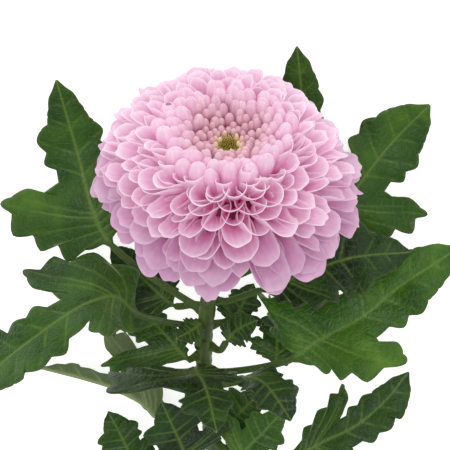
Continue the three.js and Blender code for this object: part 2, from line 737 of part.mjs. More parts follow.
// The course of a leaf: out of the stem at a right angle, along the petiole to the blade, then its midrib
function leafCourse(leaf) {
  const { point, direction } = stemAt(leaf.from);
  const inPart = leaf.course.map((p) => turnedFromView(p).add(BLOOM_CENTRE));
  const out = inPart[0].clone().sub(point);
  out.addScaledVector(direction, -out.dot(direction)).normalize();
  const clear = stemRadius(leaf.from) + GAP;
  const knots = [
    point.clone().addScaledVector(out, clear),
    point.clone().addScaledVector(out, clear + PETIOLE_START),
    ...inPart,
  ];
  const curve = new THREE.CatmullRomCurve3(knots, false, "centripetal");
  const points = curve.getPoints(COURSE_STEPS * (knots.length - 1));
  const lengths = [0];
  for (let i = 1; i < points.length; i++)
    lengths.push(lengths[i - 1] + points[i].distanceTo(points[i - 1]));
  const base = lengths[2 * COURSE_STEPS];
  return { points, lengths, base, blade: lengths.at(-1) - base };
}

function onCourse(course, distance) {
  const d = clamp(distance, 0, course.lengths.at(-1));
  const next = course.lengths.findIndex((length) => length > d);
  if (next < 0) return course.points.at(-1).clone();
  const t = (d - course.lengths[next - 1]) / (course.lengths[next] - course.lengths[next - 1]);
  return course.points[next - 1].clone().lerp(course.points[next], t);
}

// A point in the middle of the blade's thickness, by its shares of the blade's length along and across
function bladePoint(leaf, course, along, across) {
  const distance = course.base + along * course.blade;
  const middle = onCourse(course, distance);
  const ahead = onCourse(course, distance + COURSE_SLOPE_STEP);
  const tangent = ahead.sub(onCourse(course, distance - COURSE_SLOPE_STEP)).normalize();
  const [base, tip] = leaf.faces.map(turnedFromView);
  const face = base.lerp(tip, clamp(along, 0, 1));
  face.addScaledVector(tangent, -face.dot(tangent)).normalize();
  const side = tangent.clone().cross(face);
  const out = Math.abs(across);
  const wave = Math.sin(2 * Math.PI * (WAVES * along + leaf.phase) + WAVE_OFFSET * Math.sign(across));
  const waved = WAVE_HEIGHT * Math.min(out / WAVE_FULL_AT, 1) * wave;
  const rise = out * Math.tan(rad(leaf.rise)) - BLADE_CURL * out * out + waved;
  middle.addScaledVector(side, across * course.blade).addScaledVector(face, rise * course.blade);
  middle.z = restedHeight(middle.z, BLADE_REST);
  return middle;
}

function bladeNormal(leaf, course, along, across) {
  const step = BLADE_SLOPE_STEP;
  const at = (a, b) => bladePoint(leaf, course, a, b);
  const forward = at(along + step, across).sub(at(along - step, across));
  const sideways = at(along, across + step).sub(at(along, across - step));
  return sideways.cross(forward).normalize();
}

// The rows of a leaf, from the stem to the tip: a foot on the midrib and the rim to its left and right, as
// shares of the blade's length, and how far the petiole has slimmed down to the blade
function leafRows(leaf, course) {
  const rows = [];
  const petioleRows = Math.max(3, Math.round(course.base / PETIOLE_STEP));
  for (let i = 0; i < petioleRows; i++) {
    const along = (-course.base / course.blade) * (1 - i / petioleRows);
    const across = (0.5 * PETIOLE_WIDTH) / course.blade;
    rows.push({ foot: along, right: [along, across], left: [along, -across], slim: 0 });
  }
  for (const { foot, along, across, lobe } of HALF_LEAF) {
    const rim = (half) => {
      const widened = across * (lobe ? half.lobes[lobe - 1] : 1);
      const swept = lobe === 1 ? (half.sweep * across) / HALF_LEAF_WIDEST : 0;
      return [along + swept, widened];
    };
    const [rightAlong, rightAcross] = rim(leaf.right);
    const [leftAlong, leftAcross] = rim(leaf.left);
    rows.push({
      foot,
      right: [rightAlong, rightAcross],
      left: [leftAlong, -leftAcross],
      slim: THREE.MathUtils.smoothstep(foot, 0, BLADE_STARTS_BY),
    });
  }
  return rows;
}

// A leaf is one closed sheet of rows: a point on the midrib, with the rim's points left and right of it
function leafGeometry(leaf) {
  const course = leafCourse(leaf);
  const rows = leafRows(leaf, course);
  const points = [];
  for (const row of rows) {
    const ribUp = lerp(PETIOLE_HALF.up, BLADE_HALF.up, row.slim);
    const tapered = 1 - MIDRIB_TAPER * clamp(row.foot, 0, 1);
    const ribDown = lerp(PETIOLE_HALF.down, BLADE_HALF.down, row.slim) * tapered;
    const rim = lerp(PETIOLE_HALF.rim, BLADE_HALF.rim, row.slim);
    const pairs = [
      [row.foot, 0, ribUp, ribDown],
      [...row.left, rim, rim],
      [...row.right, rim, rim],
    ];
    for (const [along, across, up, down] of pairs) {
      const middle = bladePoint(leaf, course, along, across);
      const normal = bladeNormal(leaf, course, along, across);
      points.push(onOrAboveSurface(middle.clone().addScaledVector(normal, up)));
      points.push(onOrAboveSurface(middle.clone().addScaledVector(normal, -down)));
    }
  }
  return geometryOf(points, sheetTriangles(rows));
}

// The points of a row, above and below each: on the midrib, on the left rim and on the right rim
const ROW_POINTS = 6;
const LEFT = 2;
const RIGHT = 4;

function sheetTriangles(rows) {
  const triangles = [];
  const face = (a, b, c, turned) => {
    triangles.push(turned ? [a, c, b] : [a, b, c]);
    triangles.push(turned ? [a + 1, b + 1, c + 1] : [a + 1, c + 1, b + 1]);
  };
  const spread = (p, q, r) => (q[0] - p[0]) * (r[1] - p[1]) - (r[0] - p[0]) * (q[1] - p[1]);
  for (let i = 0; i + 1 < rows.length; i++) {
    const here = i * ROW_POINTS;
    const next = here + ROW_POINTS;
    for (const side of [LEFT, RIGHT]) {
      const key = side === LEFT ? "left" : "right";
      const turned = side === RIGHT;
      const sign = turned ? 1 : -1;
      const [a, b] = [[rows[i].foot, 0], [rows[i + 1].foot, 0]];
      const [c, d] = [rows[i + 1][key], rows[i][key]];
      const across = Math.min(sign * spread(a, b, c), sign * spread(a, c, d));
      const back = Math.min(sign * spread(a, b, d), sign * spread(b, c, d));
      if (across >= back) {
        face(here, next, next + side, turned);
        face(here, next + side, here + side, turned);
      } else {
        face(here, next, here + side, turned);
        face(next, next + side, here + side, turned);
      }
      const wall = [here + side, next + side, next + side + 1, here + side + 1];
      triangles.push(turned ? [wall[0], wall[2], wall[1]] : [wall[0], wall[1], wall[2]]);
      triangles.push(turned ? [wall[0], wall[3], wall[2]] : [wall[0], wall[2], wall[3]]);
    }
  }
  const last = (rows.length - 1) * ROW_POINTS;
  for (const [row, turned] of [[0, false], [last, true]])
    for (const side of [LEFT, RIGHT]) {
      const quad = [row, row + side, row + side + 1, row + 1];
      const flip = turned !== (side === RIGHT);
      triangles.push(flip ? [quad[0], quad[2], quad[1]] : [quad[0], quad[1], quad[2]]);
      triangles.push(flip ? [quad[0], quad[3], quad[2]] : [quad[0], quad[2], quad[3]]);
    }
  return triangles;
}

function named(name, geometry, material) {
  const mesh = new THREE.Mesh(geometry, material);
  mesh.name = name;
  return mesh;
}

const chrysanthemum = new THREE.Group();
chrysanthemum.add(named("bloom", bloomGeometry(), MATERIALS.bloom));
chrysanthemum.add(named("eye", eyeGeometry(), MATERIALS.eye));
chrysanthemum.add(named("bracts", bractGeometry(), MATERIALS.bracts));
chrysanthemum.add(named("stem", stemGeometry(), MATERIALS.stem));
LEAVES.forEach((leaf, i) => {
  leaf.phase = 0.5 * jitter(i, 7);
  chrysanthemum.add(named(leaf.name, leafGeometry(leaf), MATERIALS.leaf));
});

export default chrysanthemum;
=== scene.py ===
import math

import bpy
import numpy as np
from mathutils import Matrix, Vector


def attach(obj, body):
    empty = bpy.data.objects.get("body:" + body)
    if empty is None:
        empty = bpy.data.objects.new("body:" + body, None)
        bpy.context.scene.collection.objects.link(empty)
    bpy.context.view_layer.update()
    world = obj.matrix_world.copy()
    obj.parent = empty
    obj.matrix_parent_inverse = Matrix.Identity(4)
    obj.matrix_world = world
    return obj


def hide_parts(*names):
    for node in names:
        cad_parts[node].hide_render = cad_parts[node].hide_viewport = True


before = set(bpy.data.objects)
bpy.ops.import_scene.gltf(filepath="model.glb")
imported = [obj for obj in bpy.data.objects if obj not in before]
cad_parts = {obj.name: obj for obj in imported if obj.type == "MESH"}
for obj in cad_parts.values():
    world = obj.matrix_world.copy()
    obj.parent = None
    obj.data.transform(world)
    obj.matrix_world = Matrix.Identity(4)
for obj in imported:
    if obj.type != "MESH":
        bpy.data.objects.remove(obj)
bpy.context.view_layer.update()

METRES = 0.001

# The bloom's centre, the rise of its axis and the rise of the viewer's line of sight
BLOOM_CENTRE = np.array([1.1, 99.2, 56.4])
BLOOM_RISE = math.radians(20)
VIEW_RISE = math.radians(64)
ACROSS = np.array([1.0, 0.0, 0.0])
VIEW_UP = np.array([0.0, math.sin(VIEW_RISE), -math.cos(VIEW_RISE)])
VIEW_OUT = np.array([0.0, math.cos(VIEW_RISE), math.sin(VIEW_RISE)])
BLOOM_DOWN = np.array([0.0, math.sin(BLOOM_RISE), -math.cos(BLOOM_RISE)])
BLOOM_AXIS = np.array([0.0, math.cos(BLOOM_RISE), math.sin(BLOOM_RISE)])
# The eye sits this far beside the bloom's axis, which fades between two radii and below a height
EYE_SHIFT = 3.3
EYE_SHIFT_REACH = (12, 44)
EYE_SHIFT_HEIGHT = 18

# What varies from floret to floret or from leaf to leaf, each by a number of its own
SALTS = {
    "azimuth": 1, "tip radius": 2, "tip height": 3, "angle": 4, "twist": 5, "width": 6, "leaf wave": 7,
    "bend": 8, "rim wave": 9, "tone": 10, "teeth": 13, "tooth place": 14, "point": 15, "tooth depth": 16,
    "hook": 17, "eye height": 21,
}
JITTER_STEP = 12.9898
JITTER_SALT = 78.233
JITTER_SPREAD = 43758.5453

# Ray florets from the eye (share 0) to the lowest row (share 1): the tip's radius and height from the
# equator, the way it points in degrees, and the floret's width
RAYS = np.array([
    # share, radius, height, points, width
    [0.00, 5.0, 28.8, 108, 2.2],
    [0.05, 7.2, 29.9, 112, 3.0],
    [0.10, 9.4, 31.4, 112, 3.6],
    [0.20, 14.4, 34.8, 108, 4.6],
    [0.30, 20.2, 37.2, 98, 5.4],
    [0.38, 25.4, 37.8, 90, 6.4],
    [0.45, 30.0, 37.2, 76, 7.0],
    [0.50, 34.0, 35.8, 62, 7.8],
    [0.56, 38.6, 33.4, 44, 9.0],
    [0.63, 43.8, 29.6, 30, 10.2],
    [0.70, 48.8, 24.6, 22, 11.4],
    [0.78, 53.8, 16.4, 11, 12.6],
    [0.88, 58.6, 3.0, -6, 13.8],
    [1.00, 58.4, -11.0, -38, 16.0],
])
RAY_COUNT = 400
# Below 1, this leaves fewer florets near the eye
SHARE_POWER = 0.85
GOLDEN_ANGLE = math.radians(137.508)
ROOT_RADIUS = (5, 11)
ROOT_HEIGHT = (-2, -14)
TIP_SCATTER = (0.5, 2.8)
AZIMUTH_SCATTER = math.radians(5)
ANGLE_SCATTER = math.radians(11)
TWIST_SCATTER = math.radians(30)
WIDTH_SCATTER = (0.1, 0.26)
ARC_HANDLE = 0.36
# The low florets are shorter towards one azimuth, by up to this share of their reach
SHORT_SIDE = math.radians(-150)
SHORTENED = 0.17
SHORTENED_SHARES = (0.6, 0.85)
SHORT_SIDE_POWER = 4

# How far a floret's section is bent round, in degrees: at its tip, by its share, and in its tube
TIP_BEND = (
    (0, 0.475, 0.48, 0.58, 0.66, 0.76, 0.86, 1),
    (372, 372, 212, 184, 158, 134, 108, 80),
)
TUBE_BEND = 372
BEND_SCATTER = 0.2
# How far its tip hooks up, by its share
TIP_HOOK = ((0, 0.3, 0.45, 0.7, 0.82, 1), (0.0, 0.0, 0.8, 2.0, 2.0, -0.5))
HOOK_SCATTER = 0.5
# The shares between which florets go from closed fingers to open spoons
OPENING_SHARES = (0.472, 0.485)
# Changes with a floret's share: between which shares, and the values there
SHEET_START = ((0.3, 0.7), (0.4, 0.12))
TUBE_WIDTH = ((0.15, 0.6), (0.9, 0.4))
TIP_WIDTH = ((0.26, 0.46), (0.86, 0.95))
TIP_ROUNDING = ((0.5, 0.78), (1.8, 0.85))
RIM_WAVE = ((0.55, 0.9), (0.3, 1.0))
# Changes along a floret, from its root (0) to its tip (1)
SPOON_WIDENS = (0.42, 0.76)
SPOON_SLIMS = (0.78, 1)
TUBE_OPENS = (0.45, 0.86)
RIM_WAVES_FROM = (0.6, 0.9)
TIP_THINS = ((0.8, 1), (1, 0.6))
HOOKS_FROM = 0.76
ROUNDS_FROM = 0.9
ROUNDS_TO = 0.9996
STATION_POWER = 1.6
# The outline of an open tip and its small teeth
TIP_SQUARENESS = 0.98
TEETH = (2.6, 0.8)
TOOTH_SHIFT = 2
TOOTH_DEPTH = 1.3 / 60
TOOTH_DEPTHS = (0.6, 0.4)
POINTED_FROM = (0.3, 0.9)
POINT_LENGTH = 0.6
# The waves of an open rim
RIM_WAVE_TURNS = 14
RIM_SIDE_SHIFT = 2.5
RIM_FLORET_SHIFT = 5
RIM_WAVE_HEIGHT = 0.8
# Where the pale rim is, across and along the floret
PALE_ACROSS = (0.66, 1)
PALE_ALONG = (0.5, 0.8)
PALE_END = (0.92, 1)
PALE_POWER = 1.6
# How low florets and blades come to the surface, and how softly
PETAL_REST = (0.0, 0.4)
BLADE_REST = (0.35, 1.2)
# Groups of florets: name, first, end, stations along, columns across and thickness
FLORET_GROUPS = [
    ("florets_inner", 0, 130, 18, 11, 0.3),
    ("florets_middle", 130, 220, 26, 15, 0.4),
    ("florets_outer", 220, 310, 26, 15, 0.45),
    ("florets_low", 310, RAY_COUNT, 26, 15, 0.45),
]
# Profiles are radius and height along the bloom's axis, and leave this radius free on it
LEAST_RADIUS = 0.02
CORE_PROFILE = [
    (0, -16), (12, -14), (23, -8.9), (38, -4), (43, 5), (41, 14),
    (32, 22), (22, 25.5), (14, 25.5), (8, 24), (5.4, 22), (0, 22),
]
CORE_SHRINK = 0.78

EYE_PROFILE = [(0, 22.3), (4.6, 22.3), (4.4, 23.6), (2.6, 24.8), (0, 25.2)]
EYE_FLORETS = 110
EYE_RADIUS = 5.8
# The dome's height under the disc florets and its fall to the rim
EYE_HEIGHT = 24.9
EYE_FALL = 1.6
# How far disc florets stand out of the dome, and where they turn cream
EYE_RISE = (1.3, 4.4)
EYE_RISE_SCATTER = 0.3
EYE_ROOT_DEPTH = 0.8
EYE_LEAN = 0.93
EYE_FLORET_RADII = (0.3, 0.46)
EYE_CREAM_FROM = (0.45, 0.95)
ROD_ROUNDS_FROM = 0.72
ROD_ROUNDS_TO = 0.97

SEAT_HEIGHT = -24.5
CUP_PROFILE = [
    (0, SEAT_HEIGHT), (3.4, SEAT_HEIGHT), (8, -21), (13, -17), (17.5, -12.2), (12, -14.7), (0, -16.4),
]
# Bracts in each row, their shift, and stations of radius, height and half width
BRACT_ROWS = [
    (12, 0.0, [(7, -20.6, 1.6), (13, -17.2, 2.8), (19, -14.6, 3.2), (25, -12.8, 0.5)]),
    (12, 0.5, [(4, -22.8, 1.3), (9, -20.2, 2.5), (15, -18.2, 2.8), (20.5, -16.6, 0.4)]),
]
BRACT_COLUMNS = 9
BRACT_LEAST_HALF = 0.15
BRACT_HOLLOW = 0.1
BRACT_DRAWN_IN = 0.35
BRACT_HALF_THICKNESS = 0.3

GAP = 0.3
STEM_LENGTH = 250
STEM_STRAIGHT = 40
STEM_END_SLOPE = math.radians(1.85)
STEM_BOW = math.radians(7)
STEM_BOW_LENGTH = 220
STEM_RADIUS = 3.4
NECK_RADIUS = 2.5
NECK_SPAN = (30, 75)
STEM_SIDES = 40
STEM_STATION = 0.8
STEM_RIDGES = 6
RIDGE_TURN = 0.4
BETWEEN_RIDGES = 0.95
CUT_SLANT = 2
CUT_RINGS = (0.86, 0.5, 0.02)
BARE_NODES = [186, 205, 229]
SCAR_LENGTH = 0.9
SCAR_SIDE = 1.0
SWELLING_RISE = 0.5
SWELLING_LENGTH = 2.5

# The petiole flares where it reaches into the stem
PETIOLE_WIDTH = 3.2
PETIOLE_START = 4
PETIOLE_STATION = 1.5
PETIOLE_ROWS = 8
PETIOLE_DEPTH = 1.4
PETIOLE_FLARE = 0.5
PETIOLE_FLARE_LENGTH = 3
COURSE_STEPS = 60
OUTLINE_STEPS = 5
BLADE_COLUMNS = 25
COLUMN_POWER = 1.15
# The halves of a blade curl down towards the rim and have low waves, as shares of its length
BLADE_CURL = 0.15
WAVES = 2.6
WAVE_HEIGHT = 0.02
WAVE_OFFSET = 1.3
WAVE_FULL_AT = 0.2
WAVE_SCATTER = 0.5
BLADE_STARTS_BY = 0.12
TANGENT_REACH = 0.6
# The rim is partly straight, with rounded teeth
STRAIGHTNESS = 0.55
SCALLOP = 0.02
SCALLOP_MIDDLE = 0.6
SCALLOP_FROM = (0.04, 0.14)
# Half widths of the midrib and a side vein at both ends, and how a side vein fades
MIDRIB_MARK = (0.9, 0.35)
VEIN_MARK = (0.5, 0.2)
VEIN_FADE = 0.6
VEIN_START = 0.02
VEIN_END = 0.97
PETIOLE_VEIN = 0.6
# Thickness over and under the middle of a leaf
PETIOLE_OVER = 0.9
PETIOLE_UNDER = 1.6
PETIOLE_GROOVE = 0.35
PETIOLE_ROUND = 0.97
BLADE_OVER = 0.26
BLADE_UNDER = 0.24
RIB_WIDTH = 1.1
RIB_OVER = 0.12
RIB_UNDER = 1.05
RIB_TAPER = 0.65
VEIN_UNDER = 0.3
LEAST_THICKNESS = 0.2
RIM_FROM = 0.9
RIM_THINNED = 0.4
# The blade swells between its veins, less on a leaf shorter than this
SWELL_HEIGHT = 0.55
SWELL_WIDTH = 2.6
SWELL_UNDER = 0.85
SWELL_ENDS = 0.75
SWELL_LEAF = 60

# Half outline of a leaf as shares of the blade's length: where the rib to this point leaves the midrib,
# how far along and across the point is, and which lobe it belongs to
HALF_LEAF = np.array([
    [0.0, 0.0, 0.016, 0], [0.03, 0.03, 0.035, 0],
    [0.06, 0.055, 0.11, 1], [0.08, 0.075, 0.19, 1],
    [0.1, 0.13, 0.205, 1], [0.12, 0.15, 0.275, 1],
    [0.14, 0.225, 0.29, 1], [0.155, 0.265, 0.36, 1],
    [0.175, 0.34, 0.35, 1], [0.195, 0.4, 0.375, 1],
    [0.22, 0.43, 0.33, 1], [0.245, 0.43, 0.25, 1],
    [0.28, 0.4, 0.185, 1], [0.33, 0.405, 0.145, 2],
    [0.39, 0.475, 0.16, 2], [0.44, 0.53, 0.2, 2],
    [0.5, 0.59, 0.19, 2], [0.56, 0.66, 0.205, 2],
    [0.62, 0.73, 0.18, 2], [0.66, 0.745, 0.125, 3],
    [0.72, 0.8, 0.125, 3], [0.78, 0.84, 0.095, 3],
    [0.85, 0.9, 0.085, 3], [0.91, 0.945, 0.045, 3],
    [1.0, 1.0, 0.006, 3],
])
# Rows of the half outline that a side vein runs to, and how strong it is
SIDE_VEINS = [(3, 0.6), (5, 0.75), (7, 0.7), (9, 1.0), (10, 0.6), (15, 0.8), (17, 0.9), (20, 0.65), (22, 0.6)]

# Leaves: name, place on the stem, fold in degrees, tone, course of petiole and midrib and the ways the face
# looks at both ends, for the viewer, then the widths of the three lobes and the sweep of each half. A leaf's
# tone is partly its own green and partly painted shade and light: leaves lying in shade are given darker
# tones
LEAF_COLUMNS = ("name", "from", "rise", "tone", "course", "faces", "right", "left")
LEAF_ROWS = [
    ("leaf_rear_left", 76, -4, 0.5,
     [[-50, -24, -56], [-58, -9, -54], [-64.5, 15.5, -53], [-73.5, 54, -47]],
     [[-0.1, 0.15, 1], [0, -0.25, 1]], ([1.1, 0.8, 0.9], 0), ([1.3, 0.95, 0.9], -0.03)),
    ("leaf_rear_middle", 50, 3, 0.5,
     [[22, -3, -57], [36, 25, -50], [36, 43, -42], [33.5, 64.5, -32]],
     [[0, -0.3, 1], [0, -0.45, 1]], ([0.6, 0.6, 0.8], 0), ([0.6, 0.7, 0.9], 0)),
    ("leaf_rear_right", 60, 3, 0.5,
     [[46, -17.5, -54.5], [59, -1, -52], [73, 17.5, -50], [93.5, 41, -47.5]],
     [[0.2, 0.1, 1], [0.1, -0.3, 1]], ([1.2, 1, 1.3], 0.05), ([1, 1.05, 1.4], 0)),
    ("leaf_right_upper", 70, 4, 0.05,
     [[18, -44, -46], [35, -38, -43], [57, -30, -41], [85, -27, -40]],
     [[0, 0.5, 0.9], [0.1, 0.3, 0.95]], ([0.7, 1.25, 1.3], 0.04), ([0.8, 1.3, 1.2], 0.04)),
    ("leaf_right_middle", 114, 6, 0.82,
     [[32, -76, -56], [43, -68, -53], [63, -57, -49], [79.5, -43.5, -48], [108, -24.5, -46]],
     [[0, 0.3, 1], [0, 0.2, 1]], ([0.8, 0.8, 1], 0.04), ([0.95, 0.95, 1], -0.36)),
    ("leaf_right_small", 119, 4, 0.05,
     [[10, -84, -54], [19, -86, -44], [31, -102, -37]],
     [[0.3, 0.5, 0.8], [0.6, 0.3, 0.7]], ([0.8, 1.6, 1.8], 0), ([0.9, 1.9, 2.3], 0)),
    ("leaf_right_lower", 165, 4, 0.25,
     [[33, -125, -97], [50, -117, -92], [63, -110, -88], [76, -99, -86], [88, -84, -84]],
     [[0, 0.2, 1], [0, 0.2, 1]], ([0.8, 0.75, 1.2], 0.05), ([0.72, 0.6, 0.8], 0.2)),
    ("leaf_left_upper", 84, 5, 0.45,
     [[-37, -55, -42], [-47, -47, -33], [-60, -50, -27], [-84, -66, -24], [-110, -87, -28]],
     [[-0.15, 0.65, 0.8], [-0.5, 0.35, 0.8]], ([0.95, 0.65, 1.4], 0.07), ([0.65, 0.85, 1.3], -0.08)),
    ("leaf_left_middle", 104, 3, 0.4,
     [[-15.5, -77, -68], [-24, -68, -71], [-34, -57.5, -73], [-44, -47, -74]],
     [[0, 0.1, 1], [0, 0.1, 1]], ([0.45, 0.8, 1], 0), ([2, 1.4, 1], 0.22)),
    ("leaf_left_turned", 141, 40, 0.5,
     [[-27, -109, -100], [-36, -101, -98], [-49, -93, -94], [-63, -88, -90], [-85, -82, -86]],
     [[0.1, 0.6, -0.75], [0.1, 0.6, -0.75]], ([0.35, 0.4, 0.5], 0), ([0.85, 0.3, 0.5], 0.26)),
    ("leaf_left_lower", 171, 4, 0.35,
     [[-41, -134, -108], [-45, -123, -104], [-54, -104, -98]],
     [[0, 0.2, 1], [0, 0, 1]], ([1, 1.4, 1.5], 0), ([1.2, 1.6, 1.5], 0)),
    ("leaf_front_middle", 109, 2, 0.1,
     [[-12, -80, -55], [-7, -88, -42], [-2, -106, -29]],
     [[0, 0.9, 0.5], [0.1, 0.35, 0.95]], ([2.8, 1.7, 1.4], -0.36), ([1.2, 1.3, 1.5], 0)),
    ("leaf_low_middle", 147, 4, 0.3,
     [[0, -116, -106], [8, -106, -104], [19, -95, -100]],
     [[0, 0.1, 1], [0, 0.1, 1]], ([1.9, 2, 1.8], 0), ([1.9, 2, 1.8], 0)),
    ("leaf_low_right", 159, 4, 0.6,
     [[5, -127, -96], [16, -117, -92], [30, -102, -88]],
     [[0, 0.1, 1], [0, 0.1, 1]], ([1.3, 1.4, 1.3], 0), ([1.3, 1.4, 1.3], 0)),
    ("leaf_low_left", 153, 4, 0,
     [[-14, -128, -92], [-21, -114, -87], [-28, -98, -82]],
     [[0, 0.1, 1], [0, 0.1, 1]], ([1.9, 2, 1.7], 0), ([1.8, 2, 1.7], 0)),
    ("leaf_small_left", 93, 4, 0.1,
     [[-9, -60, -54], [-14, -63, -51], [-20, -66, -47]],
     [[0, 0.3, 1], [0, 0.3, 1]], ([1.2, 1.9, 2], 0), ([1.2, 1.9, 2], 0)),
    ("leaf_small_right", 98, 4, 0.1,
     [[2.5, -68, -59], [7, -63, -56], [16, -58, -50]],
     [[0, 0.3, 1], [0, 0.3, 1]], ([1.2, 1.9, 2], 0), ([1.2, 1.9, 2], 0)),
    ("leaf_inner_left", 79, 4, 0.1,
     [[-22, -52, -68], [-34, -42, -70], [-51, -25, -68]],
     [[0, 0.2, 1], [0, 0.2, 1]], ([1, 1.3, 1.4], 0), ([1, 1.3, 1.4], 0)),
    ("leaf_neck", 87, 4, 0.05,
     [[4, -61, -67], [9, -53, -69], [15, -42, -71]],
     [[0, 0.2, 1], [0, 0.2, 1]], ([1.5, 1.7, 1.6], 0), ([1.5, 1.7, 1.6], 0)),
    ("leaf_right_inner", 124, 4, 0.4,
     [[24, -80, -71], [26, -66, -74], [28, -50, -75]],
     [[0, 0.2, 1], [0, 0.2, 1]], ([1, 1.3, 1.4], 0), ([1.1, 1.4, 1.4], 0)),
]
LEAVES = [dict(zip(LEAF_COLUMNS, row)) for row in LEAF_ROWS]
STEM_NODES = np.array([leaf["from"] for leaf in LEAVES] + BARE_NODES, float)


def jitter(k, what):
    """A number from -1 to 1 that depends only on k and on what it varies."""
    s = np.sin(np.asarray(k, float) * JITTER_STEP + SALTS[what] * JITTER_SALT) * JITTER_SPREAD
    return 2 * (s - np.floor(s)) - 1


def lerp(a, b, t):
    return a + (b - a) * t


def smoothstep(low, high, x):
    t = np.clip((np.asarray(x, float) - low) / (high - low), 0, 1)
    return t * t * (3 - 2 * t)


def fade(change, x):
    """A smooth change by x, given as the places between which it happens and the values there."""
    places, values = change
    return lerp(*values, smoothstep(*places, x))


def unit(v):
    return v / np.linalg.norm(v, axis=-1, keepdims=True)


def interpolated(at, places, rows):
    """Rows of values that are known at places, read between them."""
    return np.stack([np.interp(at, places, column) for column in np.transpose(rows)], -1)


def from_bloom(p):
    """Points across, down and along the bloom's axis, in the part's frame."""
    near = 1 - smoothstep(*EYE_SHIFT_REACH, np.hypot(p[..., 0], p[..., 1]))
    shift = EYE_SHIFT * near * smoothstep(0, EYE_SHIFT_HEIGHT, p[..., 2])
    return BLOOM_CENTRE + p @ np.stack([ACROSS, BLOOM_DOWN, BLOOM_AXIS]) + shift[..., None] * ACROSS


def turned_from_view(p):
    """Vectors of the viewer's frame, turned into the part's frame."""
    return np.asarray(p, float) @ np.stack([ACROSS, VIEW_UP, VIEW_OUT])


def rested_height(z, rest):
    """Heights that come down softly to a lowest one."""
    height, softness = rest
    above = z - height
    return height + 0.5 * (above + np.hypot(above, softness))


# Meshes

def grid_quads(rows, columns, closed=False):
    """Quads of a grid of points, row by row; a closed grid joins its last column to its first."""
    i = np.arange(rows - 1)[:, None]
    j = np.arange(columns if closed else columns - 1)[None, :]
    here = i * columns + j
    beside = i * columns + (j + 1) % columns
    return np.stack([here, here + columns, beside + columns, beside], -1).reshape(-1, 4)


def sheet_quads(rows, columns):
    """Quads of a closed sheet: its upper face, its lower face and the walls between."""
    upper = grid_quads(rows, columns)
    under = rows * columns
    lower = upper[:, ::-1] + under
    i = np.arange(rows - 1) * columns
    j = np.arange(columns - 1)
    left = np.stack([i, i + under, i + columns + under, i + columns], -1)
    r = i + columns - 1
    right = np.stack([r, r + columns, r + columns + under, r + under], -1)
    start = np.stack([j, j + 1, j + 1 + under, j + under], -1)
    e = j + (rows - 1) * columns
    end = np.stack([e, e + under, e + 1 + under, e + 1], -1)
    return np.concatenate([upper, lower, left, right, start, end])


def repeated(quads, count, points_each):
    """The same quads for each of many pieces."""
    offsets = np.arange(count)[:, None, None] * points_each
    return (quads[None] + offsets).reshape(-1, 4)


def many_sheets(count, rows, columns):
    return repeated(sheet_quads(rows, columns), count, 2 * rows * columns)


def thickened(middle, up, down):
    """The upper and lower faces of sheets, from the grids of points in the middle of their thickness."""
    along = np.gradient(middle, axis=-3)
    across = np.gradient(middle, axis=-2)
    normal = unit(np.cross(along, across))
    return np.stack([middle + normal * up[..., None], middle - normal * down[..., None]], -4)


def placed(name, data):
    """A new object in the scene."""
    made = bpy.data.objects.new(name, data)
    bpy.context.scene.collection.objects.link(made)
    return made


def piece_from(name, points, quads, attributes, material, nodes):
    """Makes a smooth piece, from points in millimetres, that stands for CAD nodes."""
    points = points.reshape(-1, 3) * METRES
    # Nothing passes below the surface
    points[:, 2] = np.maximum(points[:, 2], 0)
    mesh = bpy.data.meshes.new(name)
    mesh.from_pydata(points.tolist(), [], quads.tolist(), shade_flat=False)
    mesh.validate()
    for key, values in attributes.items():
        layer = mesh.attributes.new(key, "FLOAT", "POINT")
        layer.data.foreach_set("value", np.broadcast_to(values, len(points)).astype(np.float32))
    mesh.materials.append(material)
    piece = placed(name, mesh)
    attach(piece, "root")
    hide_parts(*nodes)


def catmull_rom(p, fine):
    """Points on a uniform Catmull-Rom curve through p, at fractions of its rows."""
    ends = np.concatenate([[2 * p[0] - p[1]], p, [2 * p[-1] - p[-2]]])
    i = np.clip(np.floor(fine).astype(int), 0, len(p) - 2)
    f = (fine - i)[:, None]
    p0, p1, p2, p3 = (ends[i + step] for step in range(4))
    square = 2 * p0 - 5 * p1 + 4 * p2 - p3
    cube = 3 * p1 - p0 - 3 * p2 + p3
    return 0.5 * (2 * p1 + (p2 - p0) * f + square * f ** 2 + cube * f ** 3)


def refined(profile, steps):
    """A profile with more points, on a curve through the given ones."""
    p = np.array(profile, float)
    return catmull_rom(p, np.linspace(0, len(p) - 1, (len(p) - 1) * steps + 1))


def lathe(profile, segments):
    """Points and quads of a solid turned round the bloom's axis."""
    radius, height = np.array(profile, float).T
    angle = np.linspace(0, 2 * np.pi, segments, endpoint=False)
    r = np.maximum(radius, LEAST_RADIUS)[:, None]
    points = np.stack([r * np.cos(angle), r * np.sin(angle), height[:, None] + 0 * angle], -1)
    return points.reshape(-1, 3), grid_quads(len(profile), segments, closed=True)[:, ::-1]


def rings_round(direction, hint, sides):
    """Unit circles round directions, and the angles of their points."""
    right = unit(np.cross(direction, hint))
    up = np.cross(direction, right)
    angle = np.linspace(0, 2 * np.pi, sides, endpoint=False)
    cos, sin = np.cos(angle)[:, None], np.sin(angle)[:, None]
    return right[:, None] * cos + up[:, None] * sin, angle


# Materials

def linear(colour):
    """A colour of 0 to 255 as the eye sees it, in the renderer's linear values."""
    c = np.array(colour, float) / 255
    low = c / 12.92
    high = ((c + 0.055) / 1.055) ** 2.4
    return (*np.where(c <= 0.04045, low, high), 1.0)


